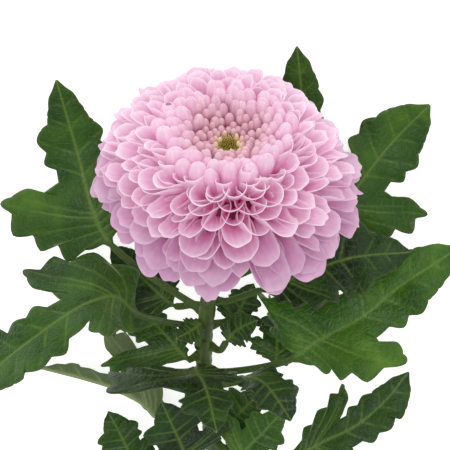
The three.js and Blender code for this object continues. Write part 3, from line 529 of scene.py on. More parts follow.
class Shading:
    """A material, with short ways to add nodes to it."""

    def __init__(self, name, **values):
        self.material = bpy.data.materials.new(name)
        self.material.use_nodes = True
        self.tree = self.material.node_tree
        self.shader = self.tree.nodes["Principled BSDF"]
        for socket, value in values.items():
            self.shader.inputs[socket.replace("_", " ")].default_value = value

    def node(self, kind, **inputs):
        made = self.tree.nodes.new("ShaderNode" + kind)
        for socket, value in inputs.items():
            self.join(value, made.inputs[socket.replace("_", " ")])
        return made

    def join(self, value, socket):
        if isinstance(value, bpy.types.NodeSocket):
            self.tree.links.new(value, socket)
        else:
            socket.default_value = value

    def feed(self, socket, value):
        self.tree.links.new(value, self.shader.inputs[socket])

    def attribute(self, name):
        made = self.node("Attribute")
        made.attribute_name = name
        return made.outputs["Fac"]

    def math(self, operation, a, b=0.0):
        made = self.node("Math")
        made.operation = operation
        self.join(a, made.inputs[0])
        self.join(b, made.inputs[1])
        return made.outputs[0]

    def times(self, a, b):
        return self.math("MULTIPLY", a, b)

    def plus(self, a, b):
        return self.math("ADD", a, b)

    def between(self, value, low, high, to_low=0.0, to_high=1.0):
        made = self.node("MapRange", Value=value, From_Min=low, From_Max=high, To_Min=to_low, To_Max=to_high)
        made.interpolation_type = "SMOOTHSTEP"
        return made.outputs["Result"]

    def ramp(self, value, stops):
        made = self.node("ValToRGB", Fac=value)
        elements = made.color_ramp.elements
        while len(elements) < len(stops):
            elements.new(1.0)
        for element, (position, colour) in zip(elements, stops):
            element.position = position
            element.color = linear(colour)
        return made.outputs["Color"]

    def mix(self, factor, a, b):
        made = self.node("Mix")
        made.data_type = "RGBA"
        self.join(factor, made.inputs["Factor"])
        for socket, colour in (("A", a), ("B", b)):
            self.join(linear(colour) if isinstance(colour, tuple) else colour, made.inputs[socket])
        return made.outputs["Result"]

    def place(self):
        return self.node("TexCoord").outputs["Object"]

    def noise(self, scale, detail=2.0, stretch=(1, 1, 1)):
        place = self.node("Mapping", Vector=self.place(), Scale=stretch).outputs["Vector"]
        return self.node("TexNoise", Vector=place, Scale=scale, Detail=detail).outputs["Fac"]

    def net(self, scale, width):
        """Lines between the cells of a net, as 1 on a line and 0 beside it."""
        cells = self.node("TexVoronoi", Vector=self.place(), Scale=scale)
        cells.feature = "DISTANCE_TO_EDGE"
        return self.between(cells.outputs["Distance"], 0.0, width, 1.0, 0.0)

    def bump(self, height, distance, strength):
        made = self.node("Bump", Height=height, Distance=distance, Strength=strength)
        self.feed("Normal", made.outputs["Normal"])


# Colours from a floret's root (0) to its tip (1)
PETAL_INSIDE = [
    (0.0, (156, 0, 74)), (0.35, (204, 20, 112)), (0.55, (224, 86, 158)),
    (0.7, (223, 148, 192)), (0.85, (229, 187, 213)), (1.0, (234, 206, 224)),
]
PETAL_OUTSIDE = [
    (0.0, (186, 40, 114)), (0.5, (206, 104, 156)), (0.75, (220, 158, 192)), (1.0, (230, 196, 215)),
]
# Brownish pink of the young florets, with darker middles and roots that are partly painted shade
YOUNG_PETAL_AND_SHADE = [
    (0.0, (80, 14, 38)), (0.5, (116, 36, 60)), (0.75, (152, 76, 98)), (1.0, (220, 180, 188)),
]
YELLOW_PETAL = [
    (0.0, (110, 78, 40)), (0.6, (170, 130, 80)), (0.88, (224, 202, 140)), (1.0, (238, 226, 180)),
]
PALE_VEIN = (250, 232, 243)
PALE_RIM = (252, 238, 246)
PALE_PATCH = (251, 232, 244)
# Painted shade for the lowest florets
LOW_PETAL_SHADE = (182, 134, 170)
DEEP_PETAL = (216, 132, 186)


def petal_material():
    # The petals are given a faint glow in their own colour, as painted light
    s = Shading("petal", Roughness=0.65, Specular_IOR_Level=0.12, Emission_Strength=0.14)
    along, share = s.attribute("along"), s.attribute("share")
    petal = s.mix(s.attribute("upper"), s.ramp(along, PETAL_OUTSIDE), s.ramp(along, PETAL_INSIDE))
    # Fine pale veins run lengthwise
    veins = s.math("SINE", s.plus(s.times(s.attribute("across"), 17.0), s.noise(90, 1)))
    veined = s.times(s.between(veins, 0.2, 1.0), s.between(s.noise(240, 2), 0.3, 0.6, 0.03, 0.26))
    shallow = s.between(along, 0.35, 0.75)
    petal = s.mix(s.times(veined, shallow), petal, PALE_VEIN)
    petal = s.mix(s.times(s.attribute("rim"), 0.62), petal, PALE_RIM)
    # The florets near the eye are brownish pink with pale tips, darker from the middle to the root partly as
    # painted shade of the hollow round the eye, and those next to it are yellow
    petal = s.mix(s.between(share, 0.14, 0.46, 1.0, 0.0), petal, s.ramp(along, YOUNG_PETAL_AND_SHADE))
    petal = s.mix(s.between(share, 0.01, 0.07, 1.0, 0.0), petal, s.ramp(along, YELLOW_PETAL))
    # The lowest florets, which hang below the bloom's rim, are painted a duller mauve as shade
    petal = s.mix(s.between(share, 0.72, 0.95, 0.0, 0.7), petal, LOW_PETAL_SHADE)
    patches = s.between(s.noise(160, 3), 0.35, 0.7)
    petal = s.mix(s.times(s.times(patches, shallow), 0.2), petal, PALE_PATCH)
    petal = s.mix(s.times(s.attribute("tone"), 0.14), petal, DEEP_PETAL)
    s.feed("Base Color", petal)
    # A painted glow in the petal's own colour stands in for light coming through the thin petals, so that the
    # deep ones are never black
    s.feed("Emission Color", petal)
    s.bump(s.plus(s.times(veins, 0.5), s.noise(900, 2)), 0.00012, 0.6)
    return s.material


def core_material():
    s = Shading("core", Roughness=0.7)
    s.feed("Base Color", s.mix(s.noise(300), (120, 30, 70), (176, 84, 120)))
    return s.material


def eye_material():
    """Olive disc florets in the middle and cream ones round them, dark at their roots."""
    s = Shading("eye", Roughness=0.6)
    along = s.attribute("along")
    olive = s.ramp(along, [(0.0, (36, 34, 10)), (0.6, (96, 86, 24)), (1.0, (190, 172, 70))])
    cream = s.ramp(along, [(0.0, (70, 52, 20)), (0.6, (176, 150, 76)), (1.0, (240, 228, 166))])
    s.feed("Base Color", s.mix(s.attribute("share"), olive, cream))
    s.bump(s.noise(1500), 0.0001, 0.5)
    return s.material


# Colours of a leaf, with its upper face in the darkest and lightest tone; a leaf's tone between them is
# partly painted shade and light
LEAF_DARK = [(0.3, (8, 30, 4)), (0.55, (22, 52, 10)), (0.75, (42, 80, 24))]
LEAF_LIGHT = [(0.3, (40, 84, 8)), (0.55, (66, 112, 16)), (0.75, (98, 144, 30))]
LEAF_UNDERSIDE = [(0.3, (88, 108, 74)), (0.7, (112, 130, 88))]
LEAF_VEIN = (116, 148, 62)
LEAF_NET = (104, 138, 70)
UNDERSIDE_VEIN = (150, 164, 112)
LEAF_RIM = (120, 132, 84)
PETIOLE = (68, 94, 36)


def leaf_material():
    s = Shading("leaf", Specular_IOR_Level=0.28)
    vein, upper = s.attribute("vein"), s.attribute("upper")
    patches = s.noise(50, 4)
    # Each leaf's tone mixes its own green with painted shade and light
    top = s.mix(s.attribute("tone"), s.ramp(patches, LEAF_DARK), s.ramp(patches, LEAF_LIGHT))
    top = s.mix(s.times(vein, 0.55), top, LEAF_VEIN)
    net = s.net(330, 0.16)
    top = s.mix(s.times(net, 0.06), top, LEAF_NET)
    bottom = s.mix(vein, s.ramp(patches, LEAF_UNDERSIDE), UNDERSIDE_VEIN)
    leaf = s.mix(upper, bottom, top)
    leaf = s.mix(s.times(s.attribute("rim"), 0.22), leaf, LEAF_RIM)
    s.feed("Base Color", s.mix(s.attribute("stalk"), leaf, PETIOLE))
    # The upper face is smoother than the underside
    s.feed("Roughness", s.plus(s.times(upper, -0.34), s.between(patches, 0.3, 0.7, 0.62, 0.78)))
    s.bump(s.plus(s.times(net, -0.4), s.times(s.noise(360, 3), 1.1)), 0.0008, 0.5)
    return s.material


def stem_material():
    s = Shading("stem", Roughness=0.5)
    grain = s.noise(260, 3, stretch=(1, 0.12, 1))
    green = s.ramp(grain, [(0.3, (44, 62, 22)), (0.55, (64, 86, 32)), (0.75, (92, 112, 52))])
    green = s.mix(s.times(s.attribute("ridge"), 0.3), green, (112, 130, 70))
    green = s.mix(s.attribute("scar"), green, (108, 96, 56))
    s.feed("Base Color", s.mix(s.attribute("cut"), green, (206, 210, 158)))
    s.bump(grain, 0.0002, 0.6)
    return s.material


def bract_material():
    s = Shading("bract", Roughness=0.6)
    green = s.ramp(s.noise(220, 3), [(0.3, (60, 86, 36)), (0.7, (94, 122, 54))])
    s.feed("Base Color", s.mix(s.attribute("rim"), green, (172, 150, 104)))
    s.bump(s.noise(700), 0.0002, 0.5)
    return s.material


def floor_material():
    s = Shading("floor", Roughness=0.8, Emission_Strength=0.62)
    white = s.ramp(s.noise(40, 2), [(0.0, (252, 252, 253)), (1.0, (254, 254, 254))])
    s.feed("Base Color", white)
    s.feed("Emission Color", white)
    return s.material


# Bloom

def ray_courses(k):
    """The arcs of ray florets k, each from the receptacle to its tip in a plane through the bloom's axis."""
    share = ((k + 0.5) / RAY_COUNT) ** SHARE_POWER
    radius, height, points, width = interpolated(share, RAYS[:, 0], RAYS[:, 1:]).T
    azimuth = k * GOLDEN_ANGLE + AZIMUTH_SCATTER * jitter(k, "azimuth")
    towards_short = np.maximum(0, np.cos(azimuth - SHORT_SIDE)) ** SHORT_SIDE_POWER
    radius = radius * (1 - SHORTENED * towards_short * smoothstep(*SHORTENED_SHARES, share))
    scatter = lerp(*TIP_SCATTER, share)
    root = np.stack([lerp(*ROOT_RADIUS, share), lerp(*ROOT_HEIGHT, share)], -1)
    radius = radius + scatter * jitter(k, "tip radius")
    height = height + scatter * jitter(k, "tip height")
    tip = np.stack([radius, height], -1)
    chord = tip - root
    end_angle = np.radians(points) + ANGLE_SCATTER * jitter(k, "angle")
    start_angle = 2 * np.arctan2(chord[:, 1], chord[:, 0]) - end_angle
    reach = ARC_HANDLE * np.linalg.norm(chord, axis=1)[:, None]
    start = root + reach * np.stack([np.cos(start_angle), np.sin(start_angle)], -1)
    end = tip - reach * np.stack([np.cos(end_angle), np.sin(end_angle)], -1)
    return {
        "share": share,
        "knots": (root, start, end, tip),
        "azimuth": azimuth,
        "twist": TWIST_SCATTER * jitter(k, "twist"),
        "half": 0.5 * width * (1 + lerp(*WIDTH_SCATTER, share) * jitter(k, "width")),
        "length": np.linalg.norm(chord, axis=1),
    }


def bezier(knots, t):
    """Points and directions on cubic curves, one per floret, at the shares t of each."""
    p0, p1, p2, p3 = (p[:, None, None, :] for p in knots)
    t = t[..., None]
    u = 1 - t
    at = u ** 3 * p0 + 3 * u * u * t * p1 + 3 * u * t * t * p2 + t ** 3 * p3
    slope = u * u * (p1 - p0) + 2 * u * t * (p2 - p1) + t * t * (p3 - p2)
    return at, unit(slope)


def floret_width(t, share):
    """The half width of a floret along it: a narrow tube that widens to the spoon."""
    slimmed = lerp(1.0, fade(TIP_WIDTH, share), smoothstep(*SPOON_SLIMS, t))
    return lerp(fade(TUBE_WIDTH, share), 1.0, smoothstep(*SPOON_WIDENS, t)) * slimmed


def tip_outline(v, share, opened, half_by_length, varied):
    """How far along a floret its tip reaches: rounded, with a few small teeth."""
    rounded = half_by_length * (1 - np.sqrt(1 - TIP_SQUARENESS * v ** 2)) * fade(TIP_ROUNDING, share)
    turns = TEETH[0] + TEETH[1] * varied("teeth")
    teeth = 0.5 - 0.5 * np.cos(np.pi * turns * v + TOOTH_SHIFT * varied("tooth place"))
    pointed = smoothstep(*POINTED_FROM, varied("point")) * half_by_length * POINT_LENGTH * np.abs(v)
    depth = TOOTH_DEPTH * (TOOTH_DEPTHS[0] + TOOTH_DEPTHS[1] * varied("tooth depth"))
    return 1 - opened * (rounded + pointed + depth * teeth)


def floret_axes(course, t):
    """The centre line of each floret at t along it, and the directions sideways and up from it."""
    at, slope = bezier(course["knots"], t)
    azimuth = course["azimuth"][:, None, None]
    cos, sin = np.cos(azimuth), np.sin(azimuth)
    zero = np.zeros_like(t)
    flat = np.stack([-sin + zero, cos + zero, zero], -1)
    rising = np.stack([-slope[..., 1] * cos, -slope[..., 1] * sin, slope[..., 0]], -1)
    turn = (course["twist"][:, None, None] * t)[..., None]
    side = flat * np.cos(turn) + rising * np.sin(turn)
    face = rising * np.cos(turn) - flat * np.sin(turn)
    centre = np.stack([at[..., 0] * cos, at[..., 0] * sin, at[..., 1]], -1)
    return centre, side, face


def floret_section(t, v, share, opened, full_half, varied):
    """How far sideways and up from its centre line a floret's sheet is."""
    scatter = BEND_SCATTER * lerp(0.1, 1, opened)
    tip_bend = np.minimum(np.interp(share, *TIP_BEND) * (1 + scatter * varied("bend")), TUBE_BEND)
    bend = np.radians(lerp(TUBE_BEND, tip_bend, smoothstep(*TUBE_OPENS, t))) / 2
    # A closed floret is rounded off about its own axis
    past = np.clip((t - ROUNDS_FROM) / (1 - ROUNDS_FROM), 0, ROUNDS_TO)
    domed = lerp(np.sqrt(1 - past ** 2), 1.0, opened)
    radius = full_half * floret_width(t, share) / np.sin(np.minimum(bend, np.pi / 2))
    angle = bend * v
    hook = np.interp(share, *TIP_HOOK) * (1 + HOOK_SCATTER * varied("hook"))
    hooked = hook * np.clip((t - HOOKS_FROM) / (1 - HOOKS_FROM), 0, 1) ** 2
    # The rim of an open floret is waved
    waved = fade(RIM_WAVE, share) * opened * smoothstep(*RIM_WAVES_FROM, t)
    phase = RIM_WAVE_TURNS * t + RIM_SIDE_SHIFT * np.sign(v) + RIM_FLORET_SHIFT * varied("rim wave")
    wave = waved * np.sin(phase) * v ** 2 * RIM_WAVE_HEIGHT
    return radius * domed * np.sin(angle), radius * (1 - domed * np.cos(angle)) + hooked + wave


def floret_sheets(k, rows, columns, thickness):
    """The upper and lower faces of ray florets k, with their quads and attributes."""
    course = ray_courses(k)
    share = course["share"][:, None, None]
    full_half = course["half"][:, None, None]
    opened = smoothstep(*OPENING_SHARES, share)
    v = np.linspace(-1, 1, columns)[None, None, :]

    def varied(what):
        return jitter(k, what)[:, None, None]

    first = fade(SHEET_START, share)
    last = tip_outline(v, share, opened, full_half / course["length"][:, None, None], varied)
    # The stations lie closer together towards the tip
    step = 1 - (1 - np.linspace(0, 1, rows)[None, :, None]) ** STATION_POWER
    t = first + (last - first) * step
    centre, side, face = floret_axes(course, t)
    right, lift = floret_section(t, v, share, opened, full_half, varied)
    middle = from_bloom(centre + side * right[..., None] + face * lift[..., None])
    lowest = middle[..., 2].min(axis=-1, keepdims=True)
    middle[..., 2] += rested_height(lowest, PETAL_REST) - lowest

    # A floret is thinner at its rim and tip
    thick = 0.5 * thickness * (1 - 0.5 * v ** 4) * fade(TIP_THINS, t)
    points = thickened(middle, thick, thick)

    along = (t - first) / (last - first)
    sides = smoothstep(*PALE_ACROSS, np.abs(v)) * smoothstep(*PALE_ALONG, along)
    rim = np.maximum(sides, smoothstep(*PALE_END, along)) ** PALE_POWER * opened

    def both(values):
        return np.broadcast_to(values[:, None], (len(k), 2, rows, columns)).ravel()

    attributes = {
        "along": both(along),
        "across": both(v),
        "share": both(share),
        "rim": both(rim),
        "tone": both(0.5 + 0.5 * varied("tone")),
        "upper": np.tile(np.repeat([1.0, 0.0], rows * columns), len(k)),
    }
    return points, many_sheets(len(k), rows, columns), attributes


def make_bloom():
    material = petal_material()
    for name, first, last, rows, columns, thickness in FLORET_GROUPS:
        points, quads, attributes = floret_sheets(np.arange(first, last), rows, columns, thickness)
        piece_from(name, points, quads, attributes, material, ["bloom"])
    points, quads = lathe(refined(np.array(CORE_PROFILE) * CORE_SHRINK, steps=4), segments=64)
    piece_from("bloom_core", from_bloom(points), quads, {}, core_material(), ["bloom"])


# Eye

def rods(feet, tops, radii, sides, rings):
    """Points and quads of many round-ended rods, and how far along its rod each point is."""
    u = np.linspace(0, 1, rings)
    past = np.clip((u - ROD_ROUNDS_FROM) / (1 - ROD_ROUNDS_FROM), 0, ROD_ROUNDS_TO)
    radius = lerp(*radii, u) * np.sqrt(1 - past ** 2)
    ring, _ = rings_round(unit(tops - feet), [0.31, 0.77, 0.56], sides)
    line = feet[:, None] + (tops - feet)[:, None] * u[:, None]
    points = line[:, :, None] + ring[:, None] * radius[:, None, None]
    quads = grid_quads(rings, sides, closed=True)[:, ::-1]
    along = np.repeat(np.tile(u, len(feet)), sides)
    return points.reshape(-1, 3), repeated(quads, len(feet), rings * sides), along


def make_eye():
    k = np.arange(EYE_FLORETS)
    share = np.sqrt((k + 0.5) / EYE_FLORETS)
    azimuth = k * GOLDEN_ANGLE
    out = EYE_RADIUS * share
    cap = EYE_HEIGHT - EYE_FALL * share ** 2
    top = cap + lerp(*EYE_RISE, share ** 2) + EYE_RISE_SCATTER * jitter(k, "eye height")
    lean = out * lerp(1.0, EYE_LEAN, share)
    feet = np.stack([out * np.cos(azimuth), out * np.sin(azimuth), cap - EYE_ROOT_DEPTH], -1)
    tops = np.stack([lean * np.cos(azimuth), lean * np.sin(azimuth), top], -1)
    points, quads, along = rods(feet, tops, EYE_FLORET_RADII, sides=8, rings=8)
    dome, dome_quads = lathe(refined(EYE_PROFILE, steps=3), segments=32)
    on_dome = np.zeros(len(dome))
    cream = np.repeat(smoothstep(*EYE_CREAM_FROM, share), len(points) // EYE_FLORETS)
    attributes = {"along": np.concatenate([along, on_dome]), "share": np.concatenate([cream, on_dome])}
    all_points = from_bloom(np.concatenate([points, dome]))
    all_quads = np.concatenate([quads, dome_quads + len(points)])
    piece_from("eye_florets", all_points, all_quads, attributes, eye_material(), ["eye"])


# Bracts

def bract_row(count, shift, stations):
    """The bracts of one row round the head, each a grid of points."""
    radius, height, half = refined(stations, steps=5).T
    right = np.maximum(half, BRACT_LEAST_HALF)[:, None] * np.linspace(-1, 1, BRACT_COLUMNS)
    lift = BRACT_HOLLOW * right ** 2
    r = radius[:, None] - BRACT_DRAWN_IN * lift
    sheets = []
    for i in range(count):
        azimuth = (i + shift) * 2 * np.pi / count
        cos, sin = math.cos(azimuth), math.sin(azimuth)
        sheets.append(np.stack([r * cos - right * sin, r * sin + right * cos, height[:, None] + lift], -1))
    return sheets


def make_bracts():
    sheets = np.array([sheet for row in BRACT_ROWS for sheet in bract_row(*row)])
    count, rows, columns = sheets.shape[:3]
    thick = np.full(sheets.shape[:3], BRACT_HALF_THICKNESS)
    points = thickened(from_bloom(sheets), thick, thick).reshape(-1, 3)
    side = smoothstep(0.6, 1, np.abs(np.linspace(-1, 1, columns)))[None, :]
    end = smoothstep(0.85, 1, np.linspace(0, 1, rows))[:, None]
    rim = np.tile(np.maximum(side, end).ravel(), 2 * count)
    cup, cup_quads = lathe(refined(CUP_PROFILE, steps=3), segments=48)
    attributes = {"rim": np.concatenate([rim, np.zeros(len(cup))])}
    all_points = np.concatenate([points, from_bloom(cup)])
    all_quads = np.concatenate([many_sheets(count, rows, columns), cup_quads + len(points)])
    piece_from("bract_cup", all_points, all_quads, attributes, bract_material(), ["bracts"])


# Stem

def stem_course():
    """The stem's line from the bloom's centre to its cut end, at every millimetre, and its directions."""
    s = np.arange(STEM_LENGTH + 1, dtype=float)
    bent = np.clip((s - STEM_STRAIGHT) / (STEM_LENGTH - STEM_STRAIGHT), 0, 1)
    slope = lerp(BLOOM_RISE, STEM_END_SLOPE, bent)
    yaw = STEM_BOW * np.sin(2 * np.pi * s / STEM_BOW_LENGTH)
    directions = np.stack([-np.sin(yaw) * np.cos(slope), -np.cos(yaw) * np.cos(slope), -np.sin(slope)], -1)
    steps = 0.5 * (directions[:-1] + directions[1:])
    points = BLOOM_CENTRE + np.concatenate([[np.zeros(3)], np.cumsum(steps, axis=0)])
    return s, points, directions


STEM = stem_course()


def stem_at(distance):
    s, points, directions = STEM
    return interpolated(distance, s, points), unit(interpolated(distance, s, directions))


def stem_radius(distance):
    nearest = np.min(np.abs(np.asarray(distance)[..., None] - STEM_NODES), axis=-1)
    swelling = SWELLING_RISE * np.exp(-((nearest / SWELLING_LENGTH) ** 2))
    return lerp(NECK_RADIUS, STEM_RADIUS, smoothstep(*NECK_SPAN, distance)) + swelling


def make_stem():
    s = np.arange(-SEAT_HEIGHT + GAP, STEM_LENGTH, STEM_STATION)
    s = np.concatenate([s, np.full(1 + len(CUT_RINGS), STEM_LENGTH)])
    shrink = np.ones(len(s))
    shrink[-len(CUT_RINGS):] = CUT_RINGS
    at, direction = stem_at(s)
    ring, angle = rings_round(direction, [0, 0, -1], STEM_SIDES)
    ridge = 0.5 + 0.5 * np.cos(STEM_RIDGES * angle + RIDGE_TURN)
    radius = stem_radius(s)[:, None] * lerp(BETWEEN_RIDGES, 1.0, ridge) * shrink[:, None]
    slant = np.where(s >= STEM_LENGTH, CUT_SLANT, 0) * shrink
    points = at[:, None] + ring * radius[..., None]
    points = points + direction[:, None] * (slant[:, None] * np.sin(angle))[..., None]
    nearest_bare = np.min(np.abs(s[:, None] - np.array(BARE_NODES)), axis=1)
    scar = np.exp(-((nearest_bare / SCAR_LENGTH) ** 2))[:, None] * (0.5 + 0.5 * np.cos(angle - SCAR_SIDE))
    attributes = {
        "ridge": np.tile(ridge, len(s)),
        "scar": scar.ravel(),
        "cut": np.repeat(shrink < 1, STEM_SIDES),
    }
    quads = grid_quads(len(s), STEM_SIDES, closed=True)
    piece_from("stem_ribbed", points, quads, attributes, stem_material(), ["stem"])


# Leaves

def smooth_arc(p):
    """Points from the second to the third of four points, on a centripetal Catmull-Rom curve."""
    gaps = np.sqrt(np.linalg.norm(np.diff(p, axis=0), axis=1))
    t1 = (p[1] - p[0]) / gaps[0] - (p[2] - p[0]) / (gaps[0] + gaps[1]) + (p[2] - p[1]) / gaps[1]
    t2 = (p[2] - p[1]) / gaps[1] - (p[3] - p[1]) / (gaps[1] + gaps[2]) + (p[3] - p[2]) / gaps[2]
    t1, t2 = t1 * gaps[1], t2 * gaps[1]
    f = np.linspace(0, 1, COURSE_STEPS, endpoint=False)[:, None]
    square = -3 * p[1] + 3 * p[2] - 2 * t1 - t2
    cube = 2 * p[1] - 2 * p[2] + t1 + t2
    return p[1] + t1 * f + square * f ** 2 + cube * f ** 3


def leaf_course(leaf):
    """The line of a leaf, out of the stem and along the petiole and midrib, and where the blade starts."""
    point, direction = stem_at(leaf["from"])
    in_part = turned_from_view(leaf["course"]) + BLOOM_CENTRE
    out = in_part[0] - point
    out = unit(out - direction * (out @ direction))
    clear = stem_radius(leaf["from"]) + GAP
    knots = np.concatenate([[point + out * clear, point + out * (clear + PETIOLE_START)], in_part])
    ends = np.concatenate([[2 * knots[0] - knots[1]], knots, [2 * knots[-1] - knots[-2]]])
    arcs = [smooth_arc(ends[i:i + 4]) for i in range(len(knots) - 1)]
    points = np.concatenate(arcs + [knots[-1:]])
    lengths = np.concatenate([[0], np.cumsum(np.linalg.norm(np.diff(points, axis=0), axis=1))])
    # The blade starts after the two arcs of the petiole
    base = lengths[2 * COURSE_STEPS]
    return {"points": points, "lengths": lengths, "base": base, "blade": lengths[-1] - base, "out": out}


def on_course(course, distance):
    return interpolated(distance, course["lengths"], course["points"])


def blade_points(leaf, course, along, across, phase):
    """Points in the middle of the blade's thickness, by their shares of its length along and across."""
    blade = course["blade"]
    distance = course["base"] + along * blade
    middle = on_course(course, distance)
    inner = np.clip(distance, TANGENT_REACH, course["lengths"][-1] - TANGENT_REACH)
    tangent = unit(on_course(course, inner + TANGENT_REACH) - on_course(course, inner - TANGENT_REACH))
    base, tip = turned_from_view(leaf["faces"])
    face = lerp(base, tip, np.clip(along, 0, 1)[..., None])
    face = unit(face - tangent * np.sum(face * tangent, -1, keepdims=True))
    side = np.cross(tangent, face)
    out = np.abs(across)
    wave = np.sin(2 * np.pi * (WAVES * along + phase) + WAVE_OFFSET * np.sign(across))
    rise = out * math.tan(math.radians(leaf["rise"])) - BLADE_CURL * out ** 2
    rise = rise + WAVE_HEIGHT * np.minimum(out / WAVE_FULL_AT, 1) * wave
    return middle + side * (across * blade)[..., None] + face * (rise * blade)[..., None]


def half_outline(half):
    """The toothed rim of one half of a blade, and its points without teeth: foot, along and across."""
    lobes, sweep = half
    foot, along, across, lobe = HALF_LEAF.T
    widened = across * np.where(lobe > 0, np.array([1] + lobes)[lobe.astype(int)], 1)
    swept = along + np.where(lobe == 1, sweep * across / across.max(), 0)
    rim = np.stack([foot, swept, widened], -1)
    rows = np.arange(len(rim))
    fine = np.linspace(0, rows[-1], rows[-1] * OUTLINE_STEPS + 1)
    outline = lerp(catmull_rom(rim, fine), interpolated(fine, rows, rim), STRAIGHTNESS)
    # Rounded teeth stand on the rim, one for every two rows of the half outline
    scallop = np.abs(np.sin(0.5 * np.pi * fine)) - SCALLOP_MIDDLE
    slope = np.gradient(outline[:, 1:], axis=0)
    outward = unit(np.stack([-slope[:, 1], slope[:, 0]], -1))
    grown = SCALLOP * scallop * smoothstep(*SCALLOP_FROM, outline[:, 2])
    outline[:, 1:] += outward * grown[:, None]
    return outline, rim


def vein_strength(course, along, across, rims):
    """How strongly a vein shows at places of the blade, and how far the nearest vein is in millimetres."""
    blade = course["blade"]
    strength = np.exp(-((across * blade / lerp(*MIDRIB_MARK, np.clip(along, 0, 1))) ** 2))
    nearest = np.abs(across) * blade
    for sign, rim in rims:
        for row, weight in SIDE_VEINS:
            foot, end_along, end_across = rim[row]
            start = np.array([foot - VEIN_START, 0.0])
            end = lerp(start, np.array([end_along, sign * end_across]), VEIN_END)
            line = end - start
            place = np.stack([along, across], -1) - start
            share = np.clip(place @ line / (line @ line), 0, 1)
            apart = np.linalg.norm(place - share[..., None] * line, axis=-1) * blade
            mark = np.exp(-((apart / lerp(*VEIN_MARK, share)) ** 2))
            strength = np.maximum(strength, weight * (1 - VEIN_FADE * share) * mark)
            nearest = np.minimum(nearest, apart)
    return strength, nearest


def petiole_outline(course):
    """The petiole's stations and half widths, as shares of the blade's length."""
    base, blade = course["base"], course["blade"]
    rows = max(PETIOLE_ROWS, round(base / PETIOLE_STATION))
    stations = np.linspace(-(base + PETIOLE_DEPTH) / blade, 0, rows, endpoint=False)
    flared = smoothstep(-(base - PETIOLE_FLARE_LENGTH) / blade, stations[0], stations)
    return stations, 0.5 * PETIOLE_WIDTH / blade * (1 + PETIOLE_FLARE * flared)


def leaf_grid(course, halves):
    """A grid over a leaf: feet of its rows, its columns' shares of the way out, and its places."""
    stations, half_width = petiole_outline(course)
    c = np.linspace(1, -1, BLADE_COLUMNS)
    c = np.sign(c) * np.abs(c) ** COLUMN_POWER
    share = np.abs(c)[None, :]
    foot = np.concatenate([stations, halves[0][:, 0]])[:, None]
    petiole = np.stack([stations, half_width], -1)
    right, left = (np.concatenate([petiole, half[:, 1:]])[:, None] for half in halves)
    rim = np.where(c[None, :, None] > 0, right, left)
    along = lerp(foot, rim[..., 0], share)
    across = np.sign(c)[None, :] * rim[..., 1] * share
    return foot, share, along, across


def leaf_thickness(course, foot, share, across, strength, nearest):
    """The thickness of a leaf over and under its middle, and how near its rim each point is."""
    in_blade = smoothstep(0, BLADE_STARTS_BY, foot)
    size = min(1.0, course["blade"] / SWELL_LEAF)
    between_veins = 1 - np.exp(-((nearest / (SWELL_WIDTH * size)) ** 2))
    swell = SWELL_HEIGHT * size * between_veins * smoothstep(1, SWELL_ENDS, share) * in_blade
    rib = np.exp(-((across * course["blade"] / RIB_WIDTH) ** 2))
    arch = np.sqrt(np.clip(1 - (PETIOLE_ROUND * share) ** 2, 0, 1))
    taper = 1 - RIB_TAPER * np.clip(foot, 0, 1)
    blade_over = BLADE_OVER + RIB_OVER * rib + swell
    blade_under = BLADE_UNDER + RIB_UNDER * rib * taper + VEIN_UNDER * strength - SWELL_UNDER * swell
    over = lerp(PETIOLE_OVER * arch * (1 - PETIOLE_GROOVE * rib), blade_over, in_blade)
    under = lerp(PETIOLE_UNDER * arch, blade_under, in_blade)
    rim = smoothstep(RIM_FROM, 1, share) * in_blade
    over, under = over * (1 - RIM_THINNED * rim), under * (1 - RIM_THINNED * rim)
    return over, np.maximum(under, LEAST_THICKNESS - over), rim


def leaf_mesh(leaf, index):
    """The upper and lower face of a leaf with its petiole, with their quads and attributes."""
    course = leaf_course(leaf)
    right, right_rim = half_outline(leaf["right"])
    left, left_rim = half_outline(leaf["left"])
    foot, share, along, across = leaf_grid(course, (right, left))
    middle = blade_points(leaf, course, along, across, WAVE_SCATTER * jitter(index, "leaf wave"))
    # The petiole's first rows reach into the stem, past the start of its line
    before = np.minimum(course["base"] + along * course["blade"], 0)
    middle = middle + course["out"] * before[..., None]
    middle[..., 2] = rested_height(middle[..., 2], BLADE_REST)

    strength, nearest = vein_strength(course, along, across, [(1, right_rim), (-1, left_rim)])
    strength = strength * np.where(foot < 0, PETIOLE_VEIN, 1)
    over, under, rim = leaf_thickness(course, foot, share, across, strength, nearest)
    points = thickened(middle, over, under)
    rows = len(foot)

    def full(values):
        return np.broadcast_to(values, (2, rows, BLADE_COLUMNS)).ravel()

    attributes = {
        "vein": full(strength),
        "rim": full(rim),
        "stalk": full(1 - smoothstep(0, 0.05, foot)),
        "upper": full(np.array([1.0, 0.0])[:, None, None]),
        "tone": full(leaf["tone"]),
    }
    return points, sheet_quads(rows, BLADE_COLUMNS), attributes


def make_leaves():
    material = leaf_material()
    for index, leaf in enumerate(LEAVES):
        points, quads, attributes = leaf_mesh(leaf, index)
        name = leaf["name"].replace("leaf", "blade")
        piece_from(name, points, quads, attributes, material, [leaf["name"]])


# Surroundings, in metres

FLOOR_HALF = 3.0
FLOOR_DROP = 0.0002
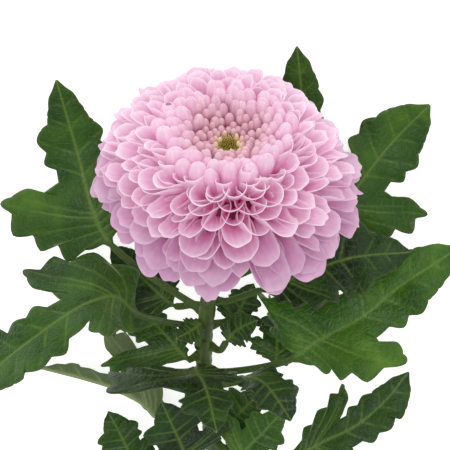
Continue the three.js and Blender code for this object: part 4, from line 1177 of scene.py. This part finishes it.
# Soft square lights: the direction from the bloom, then distance, size and power
KEY_LIGHT = ((0.15, 0.8, 0.62), 1.3, 0.6, 1.5)
FILL_LIGHT = ((-0.1, 0.3, 0.95), 1.6, 0.9, 5.8)
AMBIENT_STRENGTH = 0.66


def make_floor():
    mesh = bpy.data.meshes.new("floor")
    half = FLOOR_HALF
    corners = [(-half, -half, 0), (half, -half, 0), (half, half, 0), (-half, half, 0)]
    mesh.from_pydata(corners, [], [(0, 1, 2, 3)])
    mesh.materials.append(floor_material())
    floor = placed("floor", mesh)
    floor.location.z = -FLOOR_DROP


def area_light(name, towards, distance, size, power):
    """A soft square light that looks at the bloom from a direction."""
    light = bpy.data.lights.new(name, "AREA")
    light.energy = power
    light.size = size
    lamp = placed(name, light)
    direction = Vector(towards).normalized()
    lamp.location = Vector(BLOOM_CENTRE * METRES) + direction * distance
    lamp.rotation_euler = direction.to_track_quat("Z", "Y").to_euler()


def make_light():
    area_light("key", *KEY_LIGHT)
    area_light("fill", *FILL_LIGHT)
    world = bpy.data.worlds.new("studio")
    world.use_nodes = True
    background = world.node_tree.nodes["Background"]
    background.inputs["Color"].default_value = (1.0, 1.0, 1.0, 1.0)
    background.inputs["Strength"].default_value = AMBIENT_STRENGTH
    bpy.context.scene.world = world
    bpy.context.scene.view_settings.view_transform = "Standard"


# The camera looks down on the flower, with its top towards the bloom
CAMERA_PLACE = (1.7, -14.9, 800)
CAMERA_LENS = 150.4
CAMERA_SENSOR = 36


def make_camera():
    data = bpy.data.cameras.new("camera")
    data.lens = CAMERA_LENS
    data.sensor_width = CAMERA_SENSOR
    camera = placed("camera", data)
    place = BLOOM_CENTRE + turned_from_view(CAMERA_PLACE)
    turned = Matrix([ACROSS, VIEW_UP, VIEW_OUT]).transposed().to_4x4()
    camera.matrix_world = Matrix.Translation(Vector(place * METRES)) @ turned
    bpy.context.scene.camera = camera


make_bloom()
make_eye()
make_bracts()
make_stem()
make_leaves()
make_floor()
make_light()
make_camera()
